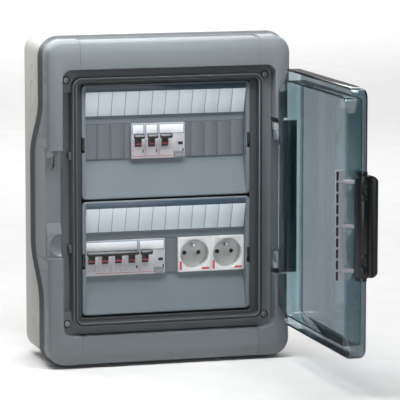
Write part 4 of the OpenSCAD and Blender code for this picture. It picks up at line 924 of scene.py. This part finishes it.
for node in ("upper_left_blank", "upper_right_blank", "lower_blank"):
    low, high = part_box(node)
    blank = bar(node + "_plate", low, (high.x, low.y + blank_t, high.z))
    weld(blank, bar("upper_leg", (low.x, low.y, high.z - blank_t), high))
    weld(blank, bar("lower_leg", low, (high.x, high.y, low.z + blank_t)))
    for module in range(1, 12):
        line = row_start + module * module_w
        if not low.x + margin < line < high.x - margin:
            continue
        for x in (line - 0.8 * mm, line + 0.8 * mm):
            cut(blank, bar("groove", (x - 0.25 * mm, low.y - mm, low.z - mm),
                           (x + 0.25 * mm, low.y + 0.6 * mm, high.z + mm)))
    dress(soften(blank, 0.15 * mm), "board", "grey_plastic", blank_grey, node)


# Door: a smoked clear tray with a rounded edge, an outer rim that is deeper at its two sides and an inner rim
# that presses on the seal. It is modelled shut and then swung to its open place.
door_x, door_z, door_y, door_t, door_round = 132.9 * mm, 166.9 * mm, -154 * mm, 3 * mm, 7 * mm
rim_y, hinge_rim_y, free_rim_y = -132.6 * mm, -124 * mm, -126.8 * mm
inner_t, inner_y, pane_y = 2.2 * mm, -129.7 * mm, door_y + door_t
arm_z = (-54.4 * mm, 0.0, 54.4 * mm)
tray = (door_x, door_z, 14 * mm)
inner = (115.4 * mm, 153.4 * mm, 9.5 * mm)


def rim_line(x, z):
    """How much deeper the rim is along the hinge and the free side, with slopes, and gaps for the arms."""
    slope_down = min(1.0, max(0.0, (151 * mm - abs(z)) / (9 * mm)))
    if x > door_x - 6 * mm:
        return (hinge_rim_y - rim_y) * slope_down
    if x > 6 * mm - door_x or min(abs(z - arm) for arm in arm_z) < 7 * mm:
        return 0.0
    return (free_rim_y - rim_y) * slope_down


def swung(piece):
    """Turns a piece that is modelled on the shut door to the open place, about the hinge pins."""
    return turned(piece, math.radians(90), (axis_x, axis_y, 0), "Z")


def eye(x, y, low_z, high_z, radius, bore, root_x):
    """An eye along Z with a bore for a pin, and a root that runs from it to another place on X."""
    ring = rod("eye", radius, (x, y, low_z), (x, y, high_z), sides=40)
    left, right = sorted((x, root_x))
    weld(ring, bar("root", (left, y - radius, low_z), (right, y + radius, high_z)))
    cut(ring, rod("bore", bore, (x, y, low_z - mm), (x, y, high_z + mm), sides=24))
    return ring


skin = Hoop("door_tray", inner, pane_y, -inner_t, cuts=67, lid=False)
skin.to(inner, inner_y - 0.5 * mm, -inner_t)
skin.arc(0.5 * mm, inner_y, False, 2)
skin.to(inner, inner_y, -0.5 * mm)
skin.arc(0.5 * mm, inner_y - 0.5 * mm, True, 2)
skin.to(inner, pane_y)
skin.to(tray, pane_y, -door_t - mm)
skin.arc(mm, pane_y + mm, True, 3)
skin.to(tray, rim_y - 0.6 * mm, -door_t, rim_line)
skin.arc(0.6 * mm, rim_y, False, 2, rim_line)
skin.to(tray, rim_y, -0.6 * mm, rim_line)
skin.arc(0.6 * mm, rim_y - 0.6 * mm, True, 2, rim_line)
skin.to(tray, door_y + door_round)
skin.arc(-door_round, door_y, False, 6)
door = skin.done()
for z in (-138 * mm, 138 * mm):
    cut(door, bar("step_line", (-door_x - mm, door_y + 2 * mm, z - 0.3 * mm),
                  (-door_x + 0.5 * mm, -137 * mm, z + 0.3 * mm)))
barrel_x, barrel_y, barrel_z = -143.9 * mm, -141.5 * mm, 62.4 * mm
for end in (-1, 1):
    low_z, high_z = sorted((end * barrel_z, end * (barrel_z + 4 * mm)))
    weld(door, eye(barrel_x, barrel_y, low_z, high_z, 7 * mm, 1.6 * mm, -door_x + 1.5 * mm))
swung(soften(door))


def smoked(name, colour, depth_colour, density):
    """Clear tinted plastic that darkens with depth, with faint flow lines and a hair of haze in its gloss."""
    def paint(start):
        place = start.node("TexCoord", out="Object")
        flow = start.node("TexNoise", {}, {"Vector": place, "Scale": 9.0, "Detail": 2.0})
        haze = start.node("TexNoise", {}, {"Vector": place, "Scale": 120.0, "Detail": 3.0})
        tone = flow.blend(shade(colour, 0.94), shade(colour, 1.06))
        return {"Base Color": tone, "Roughness": haze * 0.02, "Transmission Weight": 1.0, "IOR": 1.1,
                "Coat Weight": 1.0, "Coat IOR": 1.5, "Coat Roughness": 0.01}
    return finish(name, paint, {"Color": depth_colour, "Density": density})


smoked_plastic = smoked("smoked_plastic", (0.73, 0.86, 0.89), (0.04, 0.09, 0.14, 1), 160.0)
dress(door, "door", "smoked_plastic", smoked_plastic, "door")


# Hinge bar: a dark moulding fixed along the door's hinge side, deeper at its two ends, where a knuckle each
# takes a steel pin.
hinge_black = moulded("hinge_black", (0.17, 0.225, 0.25), 0.34, 0.8, 0.02)
deep_y, shallow_y, outer_y = -125.5 * mm, -131.6 * mm, -149 * mm
bar_line = [(outer_y, 99 * mm), (deep_y, 99 * mm), (deep_y, 72 * mm), (shallow_y, 60 * mm)]
bar_line += [(y, -z) for y, z in reversed(bar_line)]
hinge_bar = prism("hinge_bar_moulding", bar_line, door_x + 0.05 * mm, door_x + 4 * mm)
for end in (-1, 1):
    low_z, high_z = sorted((end * 74 * mm, end * 84.6 * mm))
    weld(hinge_bar, eye(axis_x, axis_y, low_z, high_z, 6 * mm, 2.05 * mm, door_x + mm))
    for z in (end * 66 * mm, end * 90 * mm):
        cut(hinge_bar, bar("groove", (door_x + 3.4 * mm, -150 * mm, z - 0.5 * mm),
                           (door_x + 5 * mm, -120 * mm, z + 0.5 * mm)))
dress(swung(soften(hinge_bar, 0.5 * mm)), "door", "black_plastic", hinge_black, "hinge_bar")


# Handle: a smooth black barrel on a pin between the door's lugs, with a flat rounded grip outside, and the
# slotted lilac plate behind it, on three arms, that enters the cover's channel. Black pads fill its slots.
black_plastic = moulded("black_plastic", (0.010, 0.0135, 0.0155), 0.3, 0.8, 0.02)
barrel_r, neck, dish_y, rivet_y = 9.5 * mm, 6.5 * mm, -143 * mm, -144 * mm
barrel = rod("door_handle_grip", barrel_r, (barrel_x, barrel_y, -barrel_z),
             (barrel_x, barrel_y, barrel_z), sides=64)
weld(barrel, bar("neck", (barrel_x - neck, -157 * mm, -barrel_z), (barrel_x + neck, barrel_y, barrel_z)))
grip = (9.5 * mm, 64 * mm, 6 * mm)
skin = Hoop("grip", grip, -153 * mm, centre=(barrel_x, 0))
skin.to(grip, -157.3 * mm)
skin.arc(-2.5 * mm, -159.8 * mm, False, 5)
weld(barrel, skin.done())
outline = []
corners = ((-136.9, -57, 5, 270), (-136.9, 57, 5, 0), (-149, 52, 11, 90), (-149, -52, 11, 180))
for y, z, radius, first in corners:
    for step in range(9):
        turn = math.radians(first + step * 90 / 8)
        outline.append(((y + radius * math.cos(turn)) * mm, (z + radius * math.sin(turn)) * mm))
cut(barrel, prism("profile", outline, barrel_x - 14 * mm, barrel_x + 14 * mm), operation="INTERSECT")
for end in (-1, 1):
    z = end * 33 * mm
    cut(barrel, bar("cap_line", (barrel_x - 11 * mm, -152.5 * mm, z - 0.4 * mm),
                    (barrel_x - 8.6 * mm, -130 * mm, z + 0.4 * mm)))
    z = end * 44 * mm
    cut(barrel, rod("thumb_dish", 6 * mm, (barrel_x - 12 * mm, dish_y, z),
                    (barrel_x - 8.7 * mm, dish_y, z), sides=40))
    z = end * 43 * mm
    weld(barrel, rod("rivet", 2.4 * mm, (barrel_x - 9.4 * mm, rivet_y, z),
                     (barrel_x - 6 * mm, rivet_y, z), 0.6 * mm, 24))
dress(swung(soften(barrel, 0.6 * mm)), "handle", "black_plastic", black_plastic, "door_handle")

lilac_plastic = moulded("lilac_plastic", (0.40, 0.41, 0.47), 0.4)
tab_x, tab_top, tab_end, tab_z, pitch = -131.9 * mm, -122.8 * mm, -111.8 * mm, 68 * mm, 13.6 * mm
latch = bar("latch_plate_comb", (tab_x - mm, tab_top, -tab_z), (tab_x + mm, tab_end, tab_z))
pads = []
for slot in range(10):
    z = (slot + 0.5) * pitch - tab_z
    cut(latch, bar("slot", (tab_x - 2 * mm, tab_end - 3.85 * mm, z - 5.3 * mm),
                   (tab_x + 2 * mm, tab_end - 0.9 * mm, z + 5.3 * mm)))
    pads.append(bar("pad", (tab_x - 0.7 * mm, tab_end - 3.8 * mm, z - 5.25 * mm),
                    (tab_x + 0.7 * mm, tab_end - 0.95 * mm, z + 5.25 * mm), 0.15 * mm))
soften(latch, 0.25 * mm)
dress(swung(gather("latch_slot_pads", pads)), "handle", "seal_rubber", seal_rubber)
arm_line = [(barrel_x, barrel_y + 9.3 * mm), (barrel_x + 7.4 * mm, barrel_y + 5.6 * mm),
            (tab_x + mm, tab_top + 0.2 * mm), (tab_x - mm, tab_top + 4 * mm)]
for z in arm_z:
    join(latch, soften(prism("arm", arm_line, z - 2 * mm, z + 2 * mm, "Z"), 0.4 * mm))
dress(swung(latch), "handle", "lilac_plastic", lilac_plastic, "latch_plate")


# Studio: a wide pale floor that the board stands on, soft lights above and in front of the board and over the
# floor behind it, and a room that is brighter at the back, seen from the place of the photograph.
floor_z = cad_box[0][2] - 0.2 * mm
floor = fresh("floor", bpy.ops.mesh.primitive_plane_add, size=80, location=(0, 0, floor_z))
floor.data.materials.append(moulded("floor_paper", (0.84, 0.84, 0.84), 0.8))


def lamp(name, place, aim, wide, high, power):
    """A flat soft light of a width and height at a place, turned to what it lights."""
    light = bpy.data.lights.new(name, "AREA")
    light.shape = "RECTANGLE"
    light.size = wide
    light.size_y = high
    light.energy = power
    holder = bpy.data.objects.new(name, light)
    bpy.context.scene.collection.objects.link(holder)
    holder.location = place
    holder.rotation_euler = (Vector(aim) - Vector(place)).to_track_quat("-Z", "Y").to_euler()


lamp("top_light", (-0.05, -0.36, 0.62), (0, -0.14, 0.1), 0.7, 0.3, 8)
lamp("edge_light", (-0.05, -0.24, 0.36), (0, -0.14, 0.2), 0.5, 0.06, 0.35)
lamp("front_light", (0, -3, 0.5), (0, -0.1, 0), 1.2, 1.2, 12.5)
lamp("left_light", (-0.35, 0.1, 0.42), (-0.16, -0.02, 0.15), 0.15, 0.15, 0.9)
lamp("floor_light", (0.5, 1.4, 1.3), (0.3, 1, -0.2), 2.2, 1.6, 21)
lamp("far_light", (0, 7, 3.2), (0, 7, -0.2), 10, 8, 540)
room = bpy.data.worlds.new("pale_room")
bpy.context.scene.world = room
room.use_nodes = True
room.node_tree.nodes.clear()
air = Wire(room.node_tree)
way = air.node("SeparateXYZ", {}, {0: air.node("TexCoord")}, 1)
glow = air.node("MapRange", {"interpolation_type": "SMOOTHSTEP"},
                {"Value": way, "From Min": 0.4, "From Max": 1.0, "To Min": 0.01, "To Max": 0.25})
sky = air.node("Background", {}, {"Color": (1, 1, 1, 1), "Strength": glow})
air.node("OutputWorld", {}, {"Surface": sky})
bpy.context.scene.view_settings.view_transform = "Standard"

view = bpy.data.cameras.new("camera")
view.lens = 279.5
view.sensor_width = 36
camera = bpy.data.objects.new("camera", view)
bpy.context.scene.collection.objects.link(camera)
camera.location = (-1.0623, -3.9292, 0.5548)
camera.rotation_euler = (math.radians(81.99), 0, math.radians(-16.21))
bpy.context.scene.camera = camera
